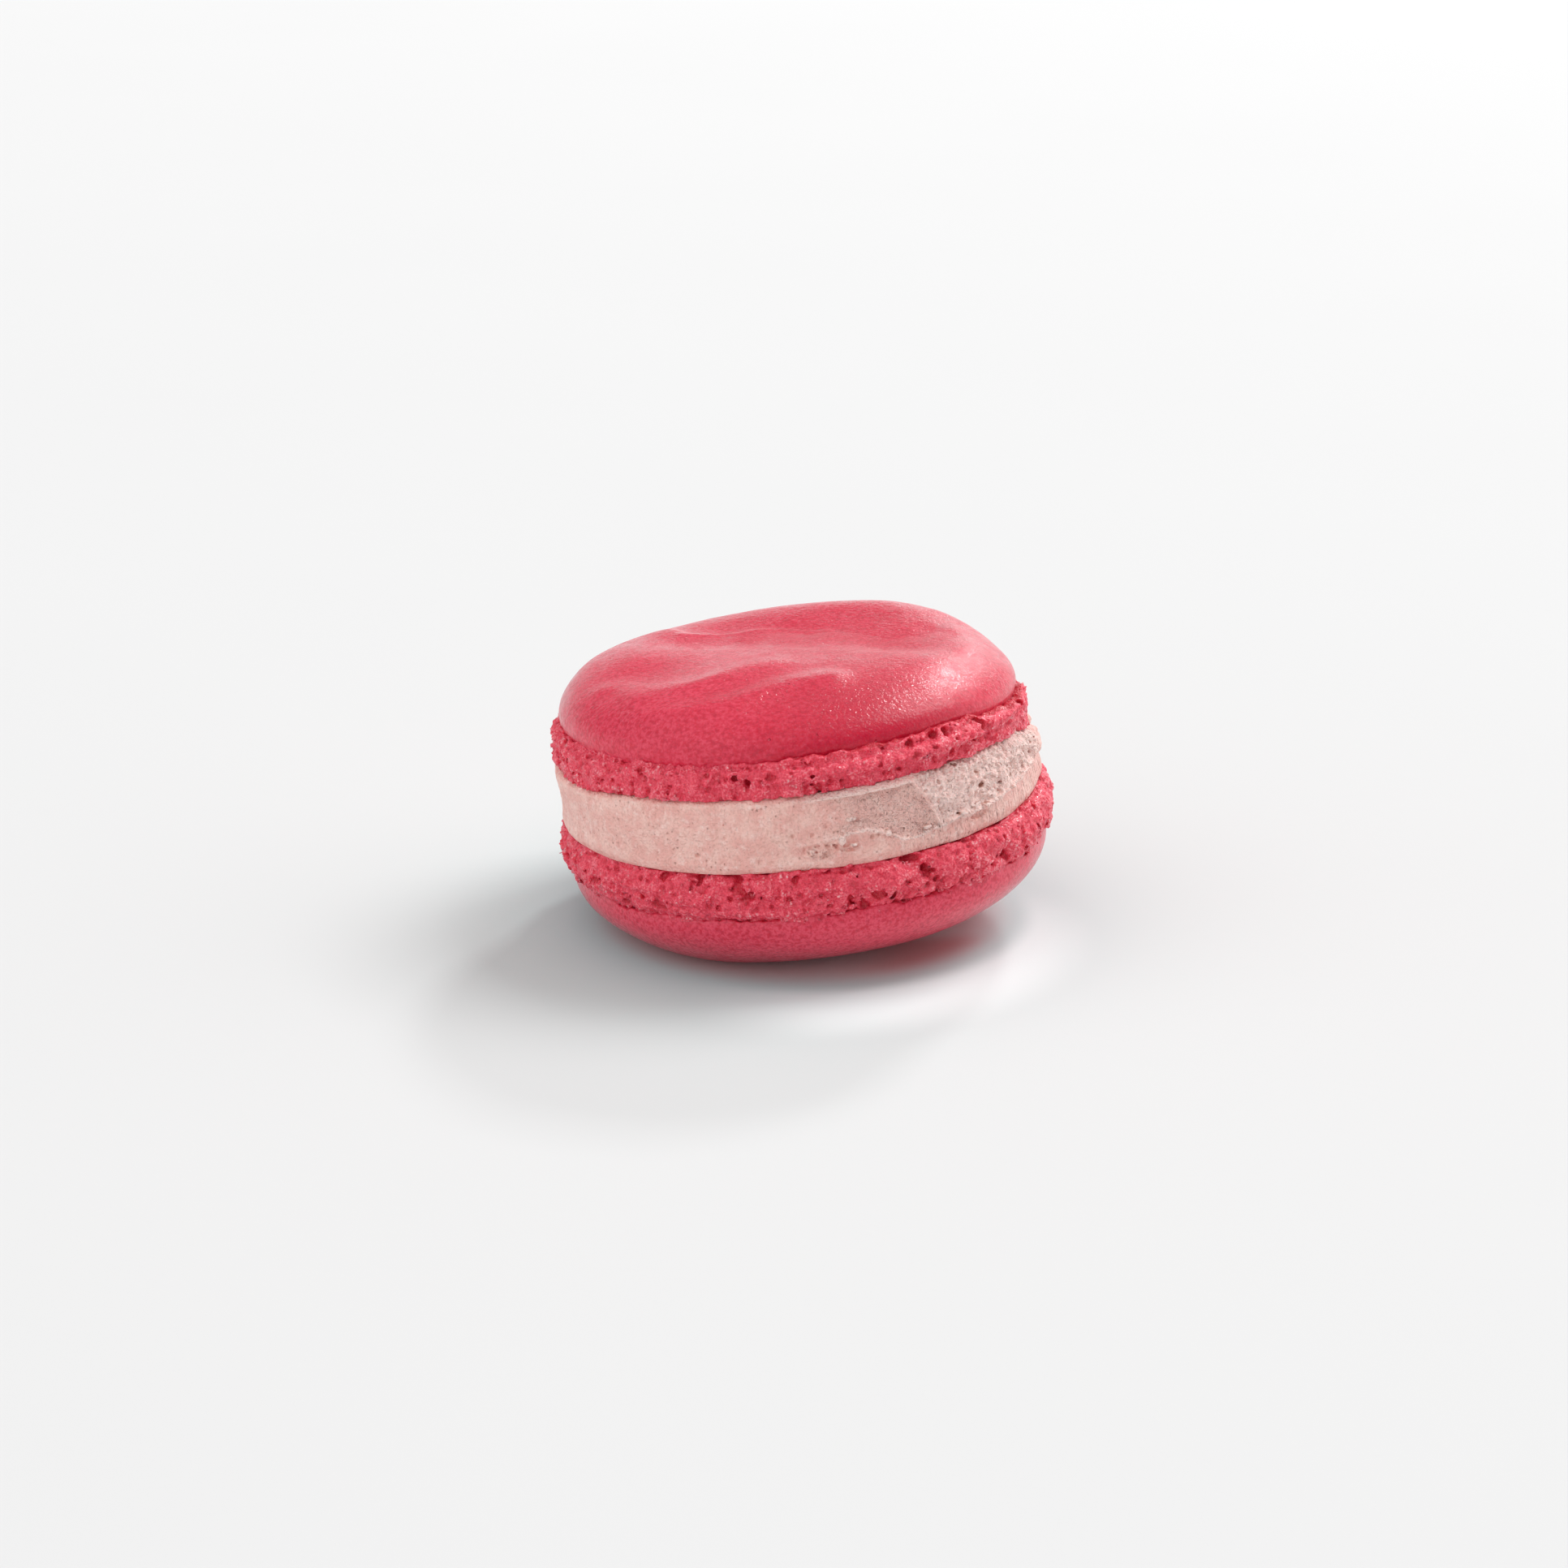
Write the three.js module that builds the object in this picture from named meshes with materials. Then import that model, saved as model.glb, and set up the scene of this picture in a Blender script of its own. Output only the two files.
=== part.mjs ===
// A French macaron: two almond meringue shells, each a smooth cap that has risen on a rough, bubbly
// foot, with a thick disc of buttercream between them. It rests on the flattened crown of its lower
// shell and leans to one side, as a macaron on a table does.
//
// Every piece is modelled upright about the macaron's own axis, with z = 0 at mid-height of the
// filling. The group at the end leans the macaron and stands it on z = 0. Lengths are millimetres.

import * as THREE from "three";

// ---- Driving dimensions ----

const LEAN = THREE.MathUtils.degToRad(5.8); // the right side (+X) is the raised one
const CENTRE = { x: -0.3, y: 0.03, z: 14.9 }; // the macaron's own origin, low enough to flatten its crown
const GAP = 0.3; // between the filling and each shell

// Radii and heights from the macaron's axis and origin.
const FILLING = {
  bottom: -3.45,
  top: 3.0,
  lip: 21.75,
  tuck: 0.3, // how far the lip curls back under
  belly: 22.05,
  rim: 21.2,
  squareness: 3.2, // of the bulge between lip and rim
};
const TOP = {
  side: 1, // the cap is above the filling
  seed: 11,
  face: FILLING.top + GAP,
  shift: [-0.65, -0.2], // the upper shell sits a little off the lower one's axis
  foot: { height: 2.8, lip: 21.35, belly: 21.5, groove: 20.4 },
  cap: { rim: 20.4, widest: 20.75, rise: 0.9, crown: 3.8, flatness: 4.2, offset: -0.6 },
};
const BOTTOM = {
  side: -1,
  seed: 23,
  face: GAP - FILLING.bottom,
  shift: [0, 0],
  foot: { height: 3.8, lip: 21.8, belly: 22.5, groove: 21.5 },
  cap: { rim: 21.6, widest: 21.75, rise: 0.7, crown: 7.2, flatness: 2.6, offset: 0.7 },
};
const SETTLE = { drop: 0.2, slope: 0.008 }; // the upper shell has sunk more on its left side

const UNEVENNESS = 0.01; // how far a hand-piped disc strays from a true circle, as a share of its radius
const CRUMB = { lump: 1.9, rag: 0.95, height: 0.5, ragged: 0.25 }; // sizes and relief of a foot's crumb
const CREAM = { spread: 0.16, swell: 3.6, crag: 1.25, cragHeight: 0.25 }; // the same for the buttercream

// Lumps (height above 0) and hollows (below 0) in the rough feet: their angle round the axis in
// degrees, height above or below the origin, width and relief.
const FOOT_RELIEF = [
  { shell: TOP, angle: 192, z: 4.3, width: 1.1, height: 0.2 },
  { shell: TOP, angle: 176, z: 3.9, width: 0.8, height: 0.15 },
  { shell: TOP, angle: -99, z: 5.0, width: 0.9, height: -0.6 },
  { shell: TOP, angle: -36, z: 5.1, width: 0.6, height: -0.7 },
  { shell: BOTTOM, angle: -77, z: -6.4, width: 1.0, height: -0.9 },
  { shell: BOTTOM, angle: -69, z: -6.5, width: 0.7, height: -0.6 },
  { shell: BOTTOM, angle: -62, z: -5.0, width: 0.9, height: -0.9 },
  { shell: BOTTOM, angle: -58, z: -6.9, width: 0.9, height: -0.8 },
  { shell: BOTTOM, angle: -38, z: -6.5, width: 0.8, height: -0.8 },
  { shell: BOTTOM, angle: -115, z: -3.9, width: 0.9, height: -0.6 },
  { shell: BOTTOM, angle: -66, z: -4.0, width: 0.8, height: -0.7 },
  { shell: BOTTOM, angle: -71, z: -5.0, width: 1.3, height: 0.35 },
];

// Soft hollows (height below 0) and swells (above 0) on the upper cap, left by the skin as it dried.
const WRINKLES = [
  { x: 3, y: 13, along: 11, across: 4.0, turn: -8, height: 0.3 },
  { x: -1, y: 3, along: 12, across: 3.4, turn: -18, height: -0.55 },
  { x: 11, y: -1.5, along: 4, across: 2.6, turn: -25, height: -0.5 },
  { x: -13, y: -5, along: 4.5, across: 3, turn: 30, height: -0.35 },
  { x: -4, y: -9, along: 6, across: 2.2, turn: 25, height: 0.3 },
];

// Where a knife has dragged the buttercream: a shallow torn hollow in its side.
const TORN = { from: -84, to: -8, low: -1.8, high: 2.6, depth: 0.35 };

// ---- Mesh densities ----

const FOOT_POINTS = 160; // round each foot, and half as many round each cap
const FOOT_ROWS = 8;
const FOOT_BELLY = 0.4; // how far up the foot its belly is
const CAP_ROWS = 15;
const CAP_SPACING = 1.15; // over 1 draws the rows of a cap in from its shoulder
const FILLING_POINTS = 128;
const FILLING_ROWS = 10;

// ---- Seeded noise ----

function hash(i, j, k, seed) {
  let h = Math.imul(i, 0x27d4eb2d) ^ Math.imul(j, 0x165667b1);
  h ^= Math.imul(k, 0x9e3779b1) ^ Math.imul(seed, 0x85ebca6b);
  h = Math.imul(h ^ (h >>> 15), 0x2c1b3c6d);
  h = Math.imul(h ^ (h >>> 12), 0x297a2d39);
  return ((h ^ (h >>> 15)) >>> 0) / 4294967296;
}

const fade = (t) => t * t * (3 - 2 * t);
const mix = (a, b, t) => a + (b - a) * t;
const clamp01 = (t) => Math.min(1, Math.max(0, t));
const smoothstep = (low, high, t) => fade(clamp01((t - low) / (high - low)));

// Smooth noise from -1 to 1, with features about one unit across.
function noise(x, y, z, seed) {
  const [i, j, k] = [x, y, z].map(Math.floor);
  const [u, v, w] = [fade(x - i), fade(y - j), fade(z - k)];
  const edge = (dj, dk) => mix(hash(i, j + dj, k + dk, seed), hash(i + 1, j + dj, k + dk, seed), u);
  return 2 * mix(mix(edge(0, 0), edge(1, 0), v), mix(edge(0, 1), edge(1, 1), v), w) - 1;
}

// The rough relief of a foot at a point: bulging lumps with ragged hollows between them, -1 to 1.
function crumb(x, y, z, seed) {
  const layer = (size, each) => noise(x / size, y / size, (1.3 * z) / size, each);
  return 0.62 * layer(CRUMB.lump, seed) + 0.38 * layer(CRUMB.rag, seed + 1);
}

// ---- Solids from rings of points ----

// One closed solid from rings of points that follow each other from its lower pole to its upper one.
// Rings run anticlockwise seen from above. Neighbours hold as many points as each other, or half or
// twice as many, and the first and last hold one point.
function ringSolid(rings) {
  const starts = [];
  let total = 0;
  for (const ring of rings) {
    starts.push(total);
    total += ring.length;
  }
  const faces = [];
  for (let r = 1; r < rings.length; r++) {
    const [n, m] = [rings[r - 1].length, rings[r].length];
    const low = (i) => starts[r - 1] + (i % n);
    const high = (i) => starts[r] + (i % m);
    for (let i = 0; i < Math.max(n, m); i++) {
      if (n === 1) faces.push(low(0), high(i + 1), high(i));
      else if (m === 1) faces.push(low(i), low(i + 1), high(0));
      else if (n === m) faces.push(low(i), low(i + 1), high(i + 1), low(i), high(i + 1), high(i));
      else if (n === 2 * m) {
        faces.push(low(i), low(i + 1), high((i + 1) >> 1));
        if (i % 2 === 1) faces.push(low(i), high((i + 1) >> 1), high(i >> 1));
      } else {
        faces.push(low((i + 1) >> 1), high(i + 1), high(i));
        if (i % 2 === 1) faces.push(low(i >> 1), low((i + 1) >> 1), high(i));
      }
    }
  }
  const geometry = new THREE.BufferGeometry();
  geometry.setAttribute("position", new THREE.Float32BufferAttribute(rings.flat(2), 3));
  geometry.setIndex(faces);
  geometry.computeVertexNormals();
  return geometry;
}

// A ring of points at equal angles, each given by place(angle).
function ring(count, place) {
  return Array.from({ length: count }, (_, i) => place((i / count) * 2 * Math.PI));
}

// ---- Shells ----

// A disc's radius at an angle, as a factor of its mean one.
function outline(angle, seed) {
  const swells = 1.3; // about this many on each side
  return 1 + UNEVENNESS * noise(swells * Math.cos(angle), swells * Math.sin(angle), 0.5, seed);
}

// How much lower the settled upper shell and the buttercream under it lie at a point, in height.
function settle(x) {
  return SETTLE.slope * x - SETTLE.drop;
}

function wrinkle(x, y) {
  let height = 0;
  for (const w of WRINKLES) {
    const turn = THREE.MathUtils.degToRad(w.turn);
    const [dx, dy] = [x - w.x, y - w.y];
    const along = (dx * Math.cos(turn) + dy * Math.sin(turn)) / w.along;
    const across = (dy * Math.cos(turn) - dx * Math.sin(turn)) / w.across;
    height += w.height * Math.exp(-along * along - across * across);
  }
  return height;
}

// The lumps and hollows of a shell's foot at a point on its side.
function footRelief(shell, angle, radius, z) {
  let height = 0;
  for (const lump of FOOT_RELIEF.filter((each) => each.shell === shell)) {
    const turn = angle - THREE.MathUtils.degToRad(lump.angle);
    const round = 2 * radius * Math.sin(turn / 2);
    const facing = Math.cos(turn) > 0;
    const distance = Math.hypot(round, z - lump.z) / lump.width;
    if (facing) height += lump.height * Math.exp(-distance * distance);
  }
  return height;
}

// The rings of a shell from its flat face at the filling, out over the foot and up the cap to the
// crown. Heights are measured away from the filling, and side turns them up or down.
function shellRings(shell) {
  const { side, seed, shift, face, foot, cap } = shell;
  const rimHeight = face + foot.height;
  const at = (x, y, height) => {
    const settled = side > 0 ? settle(x) * smoothstep(rimHeight + cap.crown, rimHeight, height) : 0;
    return [shift[0] + x, shift[1] + y, side * height + settled];
  };

  // The foot bulges from its lip at the filling to a belly, then pulls in to a groove under the cap.
  const footRow = (row) => {
    const t = row / (FOOT_ROWS - 1);
    const height = face + t * foot.height;
    const [from, way] = t < FOOT_BELLY ? [foot.lip, t / FOOT_BELLY - 1] : [foot.groove, 0];
    const fall = t < FOOT_BELLY ? way : (t - FOOT_BELLY) / (1 - FOOT_BELLY);
    const base = mix(from, foot.belly, Math.sqrt(clamp01(1 - fall * fall)));
    const hold = row === 0 ? 0.4 : 1 - 0.4 * t; // the lip is pressed smooth, and the groove is shallow
    return ring(FOOT_POINTS, (angle) => {
      const [c, s] = [Math.cos(angle), Math.sin(angle)];
      const rough = CRUMB.height * hold * crumb(base * c, base * s, side * height, seed);
      const relief = footRelief(shell, angle, base, side * height);
      const radius = base * outline(angle, seed) + rough + relief;
      const ragged = row === 0 ? 0 : CRUMB.ragged * noise(base * c, base * s, height, seed + 7);
      return at(radius * c, radius * s, height + ragged);
    });
  };

  const capRow = (row) => {
    const u = Math.cos((row / CAP_ROWS) * (Math.PI / 2)) ** CAP_SPACING;
    const dome = cap.crown * Math.sqrt(1 - u ** cap.flatness);
    return ring(FOOT_POINTS / 2, (angle) => {
      const radius = cap.widest * u * (1 + (outline(angle, seed) - 1) * u);
      const x = cap.offset * (1 - u * u) + radius * Math.cos(angle);
      const y = radius * Math.sin(angle);
      const dents = side > 0 ? wrinkle(x, y) * smoothstep(1, 0.75, u) : 0;
      return at(x, y, rimHeight + cap.rise + dome + dents);
    });
  };

  const plainRow = (count, radius, height) =>
    ring(count, (angle) => {
      const reach = radius * outline(angle, seed);
      return at(reach * Math.cos(angle), reach * Math.sin(angle), height);
    });

  const rings = [[at(0, 0, face)]];
  rings.push(plainRow(FOOT_POINTS, 0.88 * foot.lip, face)); // inside the lip, on the flat face
  for (let row = 0; row < FOOT_ROWS; row++) rings.push(footRow(row));
  rings.push(plainRow(FOOT_POINTS / 2, cap.rim, rimHeight + 0.2 * cap.rise));
  for (let row = 0; row < CAP_ROWS; row++) rings.push(capRow(row));
  rings.push([capRow(CAP_ROWS)[0]]);
  return side > 0 ? rings : rings.reverse();
}

// Flattens what would reach below the table: each point moves along the macaron's axis on to it.
function restOnTable(rings) {
  const tableAt = (x) => -(CENTRE.z + Math.sin(LEAN) * x) / Math.cos(LEAN);
  for (const point of rings.flat()) point[2] = Math.max(point[2], tableAt(point[0]));
  return rings;
}

function topShell() {
  return ringSolid(shellRings(TOP));
}

function bottomShell() {
  return ringSolid(restOnTable(shellRings(BOTTOM)));
}

// ---- Filling ----

// The buttercream disc, bulging between the shells, with a rolled lip along its lower edge and a torn
// hollow in its side.
function filling() {
  const inTear = (angle, z) => {
    const degrees = THREE.MathUtils.radToDeg(Math.atan2(Math.sin(angle), Math.cos(angle)));
    const round = smoothstep(TORN.from, TORN.from + 5, degrees) * smoothstep(TORN.to, TORN.to - 15, degrees);
    return round * smoothstep(TORN.low - 0.4, TORN.low + 0.4, z) * smoothstep(TORN.high, TORN.high - 0.9, z);
  };
  const sideRow = (row) => {
    const t = row / (FILLING_ROWS - 1);
    const z = mix(FILLING.bottom, FILLING.top, t);
    const bulge = Math.sqrt(clamp01(1 - Math.abs(2 * t - 1) ** FILLING.squareness));
    const tuck = row === 0 ? FILLING.tuck : 0;
    const base = mix(t < 0.5 ? FILLING.lip : FILLING.rim, FILLING.belly, bulge) - tuck;
    return ring(FILLING_POINTS, (angle) => {
      const [c, s] = [Math.cos(angle), Math.sin(angle)];
      const layer = (size, seed) => noise((base * c) / size, (base * s) / size, z / size, seed);
      const crags = CREAM.cragHeight * layer(CREAM.crag, 43);
      const radius = base + CREAM.spread * layer(CREAM.swell, 41) - inTear(angle, z) * (TORN.depth + crags);
      const slide = t ** 3; // only the top of the disc follows the upper shell off the axis
      const [x, y] = [slide * TOP.shift[0] + radius * c, slide * TOP.shift[1] + radius * s];
      return [x, y, z + t * settle(radius * c)];
    });
  };
  const rings = [[[0, 0, FILLING.bottom]]];
  for (let row = 0; row < FILLING_ROWS; row++) rings.push(sideRow(row));
  rings.push([[...TOP.shift, FILLING.top + settle(0)]]);
  return ringSolid(rings);
}

// ---- Materials and assembly ----

function food(color, roughness) {
  return new THREE.MeshStandardMaterial({ color, roughness, metalness: 0 });
}

function piece(name, geometry, material) {
  const mesh = new THREE.Mesh(geometry, material);
  mesh.name = name;
  return mesh;
}

const shellColour = food(0xd9506a, 0.5);
const creamColour = food(0xe0b3ad, 0.65);

const macaron = new THREE.Group();
macaron.add(
  piece("bottom_shell", bottomShell(), shellColour),
  piece("filling", filling(), creamColour),
  piece("top_shell", topShell(), shellColour),
);
macaron.rotation.y = -LEAN;
macaron.position.set(CENTRE.x, CENTRE.y, CENTRE.z);

const part = new THREE.Group();
part.add(macaron);

export default part;
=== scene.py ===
"""Macaron maker: two almond meringue shells and the buttercream between them, in a small photo studio.

Every piece is shaped upright about the macaron's own axis, in millimetres, with z = 0 near mid-height
of the filling. It is then leaned and stood on the table, in the frame's metres.
"""

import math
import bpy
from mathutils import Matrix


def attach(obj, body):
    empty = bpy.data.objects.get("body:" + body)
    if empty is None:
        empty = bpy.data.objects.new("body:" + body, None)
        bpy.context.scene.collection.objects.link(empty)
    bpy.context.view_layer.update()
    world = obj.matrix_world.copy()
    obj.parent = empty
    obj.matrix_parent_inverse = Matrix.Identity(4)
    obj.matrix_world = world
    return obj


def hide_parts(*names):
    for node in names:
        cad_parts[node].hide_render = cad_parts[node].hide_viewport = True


bl_info = {
    "name": "Macaron maker",
    "version": (1, 0, 0),
    "blender": (4, 5, 0),
    "location": "View3D > Sidebar > Macaron",
    "description": "Makes a French macaron with crumbly feet and a buttercream filling",
    "category": "Add Mesh",
}

import bpy
import numpy as np
from bpy.props import FloatProperty, FloatVectorProperty, IntProperty, PointerProperty
from mathutils import Matrix, Vector

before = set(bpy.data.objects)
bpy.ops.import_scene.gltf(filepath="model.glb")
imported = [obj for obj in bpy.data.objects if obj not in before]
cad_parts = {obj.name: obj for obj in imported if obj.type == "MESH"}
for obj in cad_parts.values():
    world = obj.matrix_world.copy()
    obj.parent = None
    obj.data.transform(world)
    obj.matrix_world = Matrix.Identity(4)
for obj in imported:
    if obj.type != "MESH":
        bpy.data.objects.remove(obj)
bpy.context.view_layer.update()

MM = 0.001

# ---- The macaron's own sizes, as its solids have them ----

LEAN = math.radians(5.8)
CENTRE = Vector((-0.3, 0.03, 14.9))
GAP = 0.3

FILLING = {
    "bottom": -3.45,
    "top": 3.0,
    "lip": 21.75,
    "belly": 22.05,
    "rim": 21.2,
    "squareness": 3.2,
}
FOOT_BELLY = 0.4
SETTLE = {"drop": 0.2, "slope": 0.008}
UNEVENNESS = 0.01
CREAM = {"spread": 0.16, "swell": 3.6}

# Lumps of the crumb: the share and size of each layer, how flat they lie and how high they stand. Then
# the height of its crags, of those on the calmer right side and of its grains, and how ragged the foot
# is under its cap.
CRUMB = {"layers": ((0.62, 1.9), (0.38, 0.95)), "flat": 1.3, "height": 0.5}
CRAGS = {"height": 0.46, "calm": 0.3, "grain": 0.2, "rim": 0.45}

# Lumps and hollows of the feet: degrees round the axis, height, width and relief.
TOP_RELIEF = (
    (192, 4.3, 1.1, 0.2),
    (176, 3.9, 0.8, 0.15),
    (-99, 5.0, 0.9, -0.6),
    (-36, 5.1, 0.6, -0.7),
)
BOTTOM_RELIEF = (
    (-77, -6.4, 1.0, -0.9),
    (-69, -6.5, 0.7, -0.6),
    (-62, -5.0, 0.9, -0.9),
    (-58, -6.9, 0.9, -0.8),
    (-38, -6.5, 0.8, -0.8),
    (-115, -3.9, 0.9, -0.6),
    (-66, -4.0, 0.8, -0.7),
    (-71, -5.0, 1.3, 0.35),
)

# Soft hollows and swells of the upper cap: place, half-sizes, turn in degrees and height.
WRINKLES = (
    (3, 13, 11, 4.0, -8, 0.3),
    (-1, 3, 12, 3.4, -18, -0.55),
    (11, -1.5, 4, 2.6, -25, -0.5),
    (-13, -5, 4.5, 3, 30, -0.35),
    (-4, -9, 6, 2.2, 25, 0.3),
)

# ---- Finer forms than the solids have ----

# Further soft swells of the caps, as above.
TOP_SWELLS = ((10.5, 14.5, 6.5, 4, 0, 0.42), (16.5, 7, 3.5, 5, 0, 0.4), (-15, 5, 5, 7, 0, 0.4))
BOTTOM_SWELLS = ((-9, -13.5, 7, 5, 0, 0.4),)

# The upper cap hangs lower on its right, and its foot with it, by a factor more.
DROOP = {"height": 1.1, "at": -3, "from": 0.72, "full": 1.0, "foot": 1.25}

# How far the filling's top edge stands above its solid's, by degrees round the axis.
TOP_EDGE = (
    (-180, -0.4),
    (-164, -0.4),
    (-146, -0.2),
    (-139, 0.12),
    (-134, 0.3),
    (-115, 0.42),
    (-59, 0.45),
    (-50, 0.3),
    (-30, 0.15),
    (-22, -0.1),
    (-13, -0.9),
    (0, -1.5),
    (30, -0.8),
    (180, -0.4),
)

# Folds in the skin of the upper cap: a bent line of places, half-widths before and behind it, height
# and how round its top is: 2 is round, 1 a sharp crease.
FOLDS = (
    (((-10.8, 10.6), (-9.2, 8.9), (-5.8, 8.4), (-3, 8.4)), 2.4, 0.8, 0.24, 2),
    (((-9.4, 8.8), (-6, 8.7), (-2.4, 8.5), (2.6, 6.7), (4.6, 6.8)), 0.6, 0.4, 0.07, 2),
    (
        ((-5, 9.0), (2.6, 6.8), (5.0, 6.9), (7.2, 5.0), (9.8, 2.8), (12.2, 2.6), (13.8, 4.0)),
        3.9,
        5.5,
        -0.82,
        1.5,
    ),
    (((-15.0, -6.4), (-12.2, -9.8), (-7.8, -10.2), (-4.6, -8.2), (-1.5, -5.8)), 2.1, 2.2, 0.36, 2),
    (
        ((-12.0, -14.4), (-8.0, -15.4), (-4.6, -15.2), (-2.2, -13.8), (0.6, -12.2), (4.0, -12.0)),
        2.0,
        2.3,
        0.42,
        2,
    ),
    (((16.2, 5.0), (17.0, 1.0), (16.8, -2.6)), 1.2, 1.2, 0.12, 2),
)

# The upper foot stands out and up under its cap at the front right. Elsewhere it comes out nearly as far
# as the cap's rim, but from the right to the back right it keeps back and low. BACK's angles are radians.
BULGE = {"at": -45, "from": 0.5, "full": 0.85, "ends": (-4, -26), "height": 1.0, "lift": 0.3, "flush": 0.3}
BACK = {"from": math.radians(-4), "full": math.radians(12), "end": 1.2, "depth": 0.7, "drop": 0.35}

# Grains in the crumb, as the bubbles below but raised.
GRAINS = (0.4, 0.1, 0.2, 0.95)

# Open bubbles of the feet, by size: cell, smallest and largest radius, and the share of cells with one.
TOP_BUBBLES = ((1.5, 0.25, 0.5, 0.25), (0.7, 0.16, 0.3, 0.6))
BOTTOM_BUBBLES = ((1.9, 0.3, 0.7, 0.3), (0.8, 0.18, 0.34, 0.6))

# Single holes: degrees round the axis, height and radius.
TOP_HOLES = (
    (-38.2, 5.75, 0.55),
    (-17, 5.2, 0.5),
    (-50, 6.3, 0.4),
    (-45, 4.6, 0.3),
    (-53, 6.3, 0.4),
    (-60, 6.3, 0.35),
    (-102, 5.5, 0.4),
    (-98.8, 4.9, 0.42),
    (-84, 5.2, 0.3),
    (-59.5, 5.3, 0.28),
    (-56.5, 4.9, 0.3),
)
BOTTOM_HOLES = (
    (-80, -6.2, 0.35),
    (-74.5, -6.2, 0.4),
    (-72.6, -6.35, 0.35),
    (-62.2, -4.9, 0.4),
    (-60.5, -5.2, 0.35),
    (-59.5, -6.2, 0.35),
    (-37.8, -6.3, 0.4),
    (-124, -3.9, 0.4),
    (-114.6, -3.9, 0.35),
    (-105, -4.0, 0.4),
    (-92, -4.0, 0.35),
    (-67, -3.85, 0.35),
    (-65.6, -3.8, 0.4),
    (-64, -3.85, 0.3),
)
CREAM_HOLES = (
    (-29.8, 2.4, 0.36),
    (-20.5, 1.2, 0.38),
    (-20.8, -0.2, 0.38),
    (-23.3, 2.3, 0.18),
    (-34.2, 1.3, 0.17),
    (-31.7, 0.1, 0.18),
    (-28.5, 0.8, 0.18),
    (-27.6, 0.0, 0.17),
    (-42.7, 0.7, 0.32),
    (-36.7, -0.7, 0.2),
    (-45.7, 0.0, 0.18),
    (-54.7, 2.2, 0.22),
    (-55.8, -0.2, 0.2),
    (-53.7, 0.8, 0.17),
    (-73.8, -1.0, 0.2),
    (-72.4, -0.9, 0.16),
    (-64.1, -1.8, 0.17),
    (-83.8, 0.5, 0.14),
    (-70.8, 0.7, 0.12),
    (-87.1, -0.1, 0.15),
    (-107, 0.1, 0.16),
    (-91.5, 0.0, 0.2),
    (-87.3, -0.1, 0.16),
    (-114.4, -1.6, 0.2),
    (-99.8, -2.2, 0.15),
)

# The faint waviness of a baked skin: size, height, step of the seed and octaves.
SKIN_WAVES = ((5.0, 0.05, 0, 2), (1.1, 0.012, 3, 3))

# The two shells. Their edges' numbers: how far the foot reaches over the cream, how ragged it is there
# and how ragged the cap's rim is. Their tone: the share of the paler colour at the skin's left and
# right, which is painted sheen, and of the deeper one low at its front, which is painted shade.
TOP = {
    "name": "top",
    "side": 1,
    "seed": 11,
    "face": FILLING["top"] + GAP,
    "shift": (-0.65, -0.2),
    "foot": {"height": 2.8, "lip": 21.35, "belly": 21.5, "groove": 20.4},
    "cap": {"rim": 20.4, "widest": 20.75, "rise": 0.9, "crown": 3.8, "flatness": 4.2, "offset": -0.6},
    "relief": TOP_RELIEF,
    "bubbles": TOP_BUBBLES,
    "holes": TOP_HOLES,
    "edge": {"over": 0.2, "foot": 0.3, "cap": 0.5},
    "tone": {"left": 0.5, "right": 0.05, "deep_and_shade": 0.85},
}
BOTTOM = {
    "name": "bottom",
    "side": -1,
    "seed": 23,
    "face": GAP - FILLING["bottom"],
    "shift": (0.0, 0.0),
    "foot": {"height": 3.8, "lip": 21.8, "belly": 22.5, "groove": 21.5},
    "cap": {"rim": 21.6, "widest": 21.75, "rise": 0.7, "crown": 7.2, "flatness": 2.6, "offset": 0.7},
    "relief": BOTTOM_RELIEF,
    "bubbles": BOTTOM_BUBBLES,
    "holes": BOTTOM_HOLES,
    "edge": {"over": 0.3, "foot": 0.42, "cap": 0.7},
    "tone": {"left": 0.95, "right": 0.9, "deep_and_shade": 0.0},
}

# The buttercream's cut face: a smooth hollow panel, then a broken one that stands out beside it.
PANEL = {"from": -88, "full": -72, "high": 2.5, "depth": 0.2, "rough": 0.13}
BREAK = {"to": -1, "depth": 0.04, "ridges": 0.6, "lumps": 0.36, "tilt": 35}

# The ledge below both, by degrees round the axis and height. After it, flakes, cavities, rubble and
# smear are oval spots: degrees, height, half-width and half-height.
LEDGE = (
    (-86, -0.7),
    (-82, -0.2),
    (-75, -0.2),
    (-71, -0.8),
    (-67, -1.65),
    (-63, -1.75),
    (-56, -1.4),
    (-51, -1.2),
    (-43, -1.05),
    (-34, -0.85),
    (-22, -0.7),
    (-15, -0.6),
    (-6, -0.8),
)
TOP_BEAD = {"z": 2.72, "width": 0.25, "height": 0.1}
BOTTOM_BEAD = {"z": -2.75, "width": 0.75, "height": 0.2}
FLAKES = (
    (-78, 1.0, 0.58, 0.26),
    (-80.9, -0.75, 0.4, 0.55),
    (-78.4, -1.35, 0.4, 0.2),
    (-60.3, -1.3, 0.5, 0.22),
    (-50.5, -1.0, 0.5, 0.2),
    (-70.3, -0.85, 0.4, 0.36),
    (-43, -1.05, 0.5, 0.2),
)
CAVITIES = ((-79.2, -1.85, 0.55, 0.16), (-45, -1.8, 1.3, 0.35))
RUBBLE = (-85.0, -1.7, 2.5, 0.8)
SMEAR = (-5, 0.3, 3.5, 1.3)
BEVEL = {"from": -61.2, "tilt": 1.05, "width": 0.16}

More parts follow.
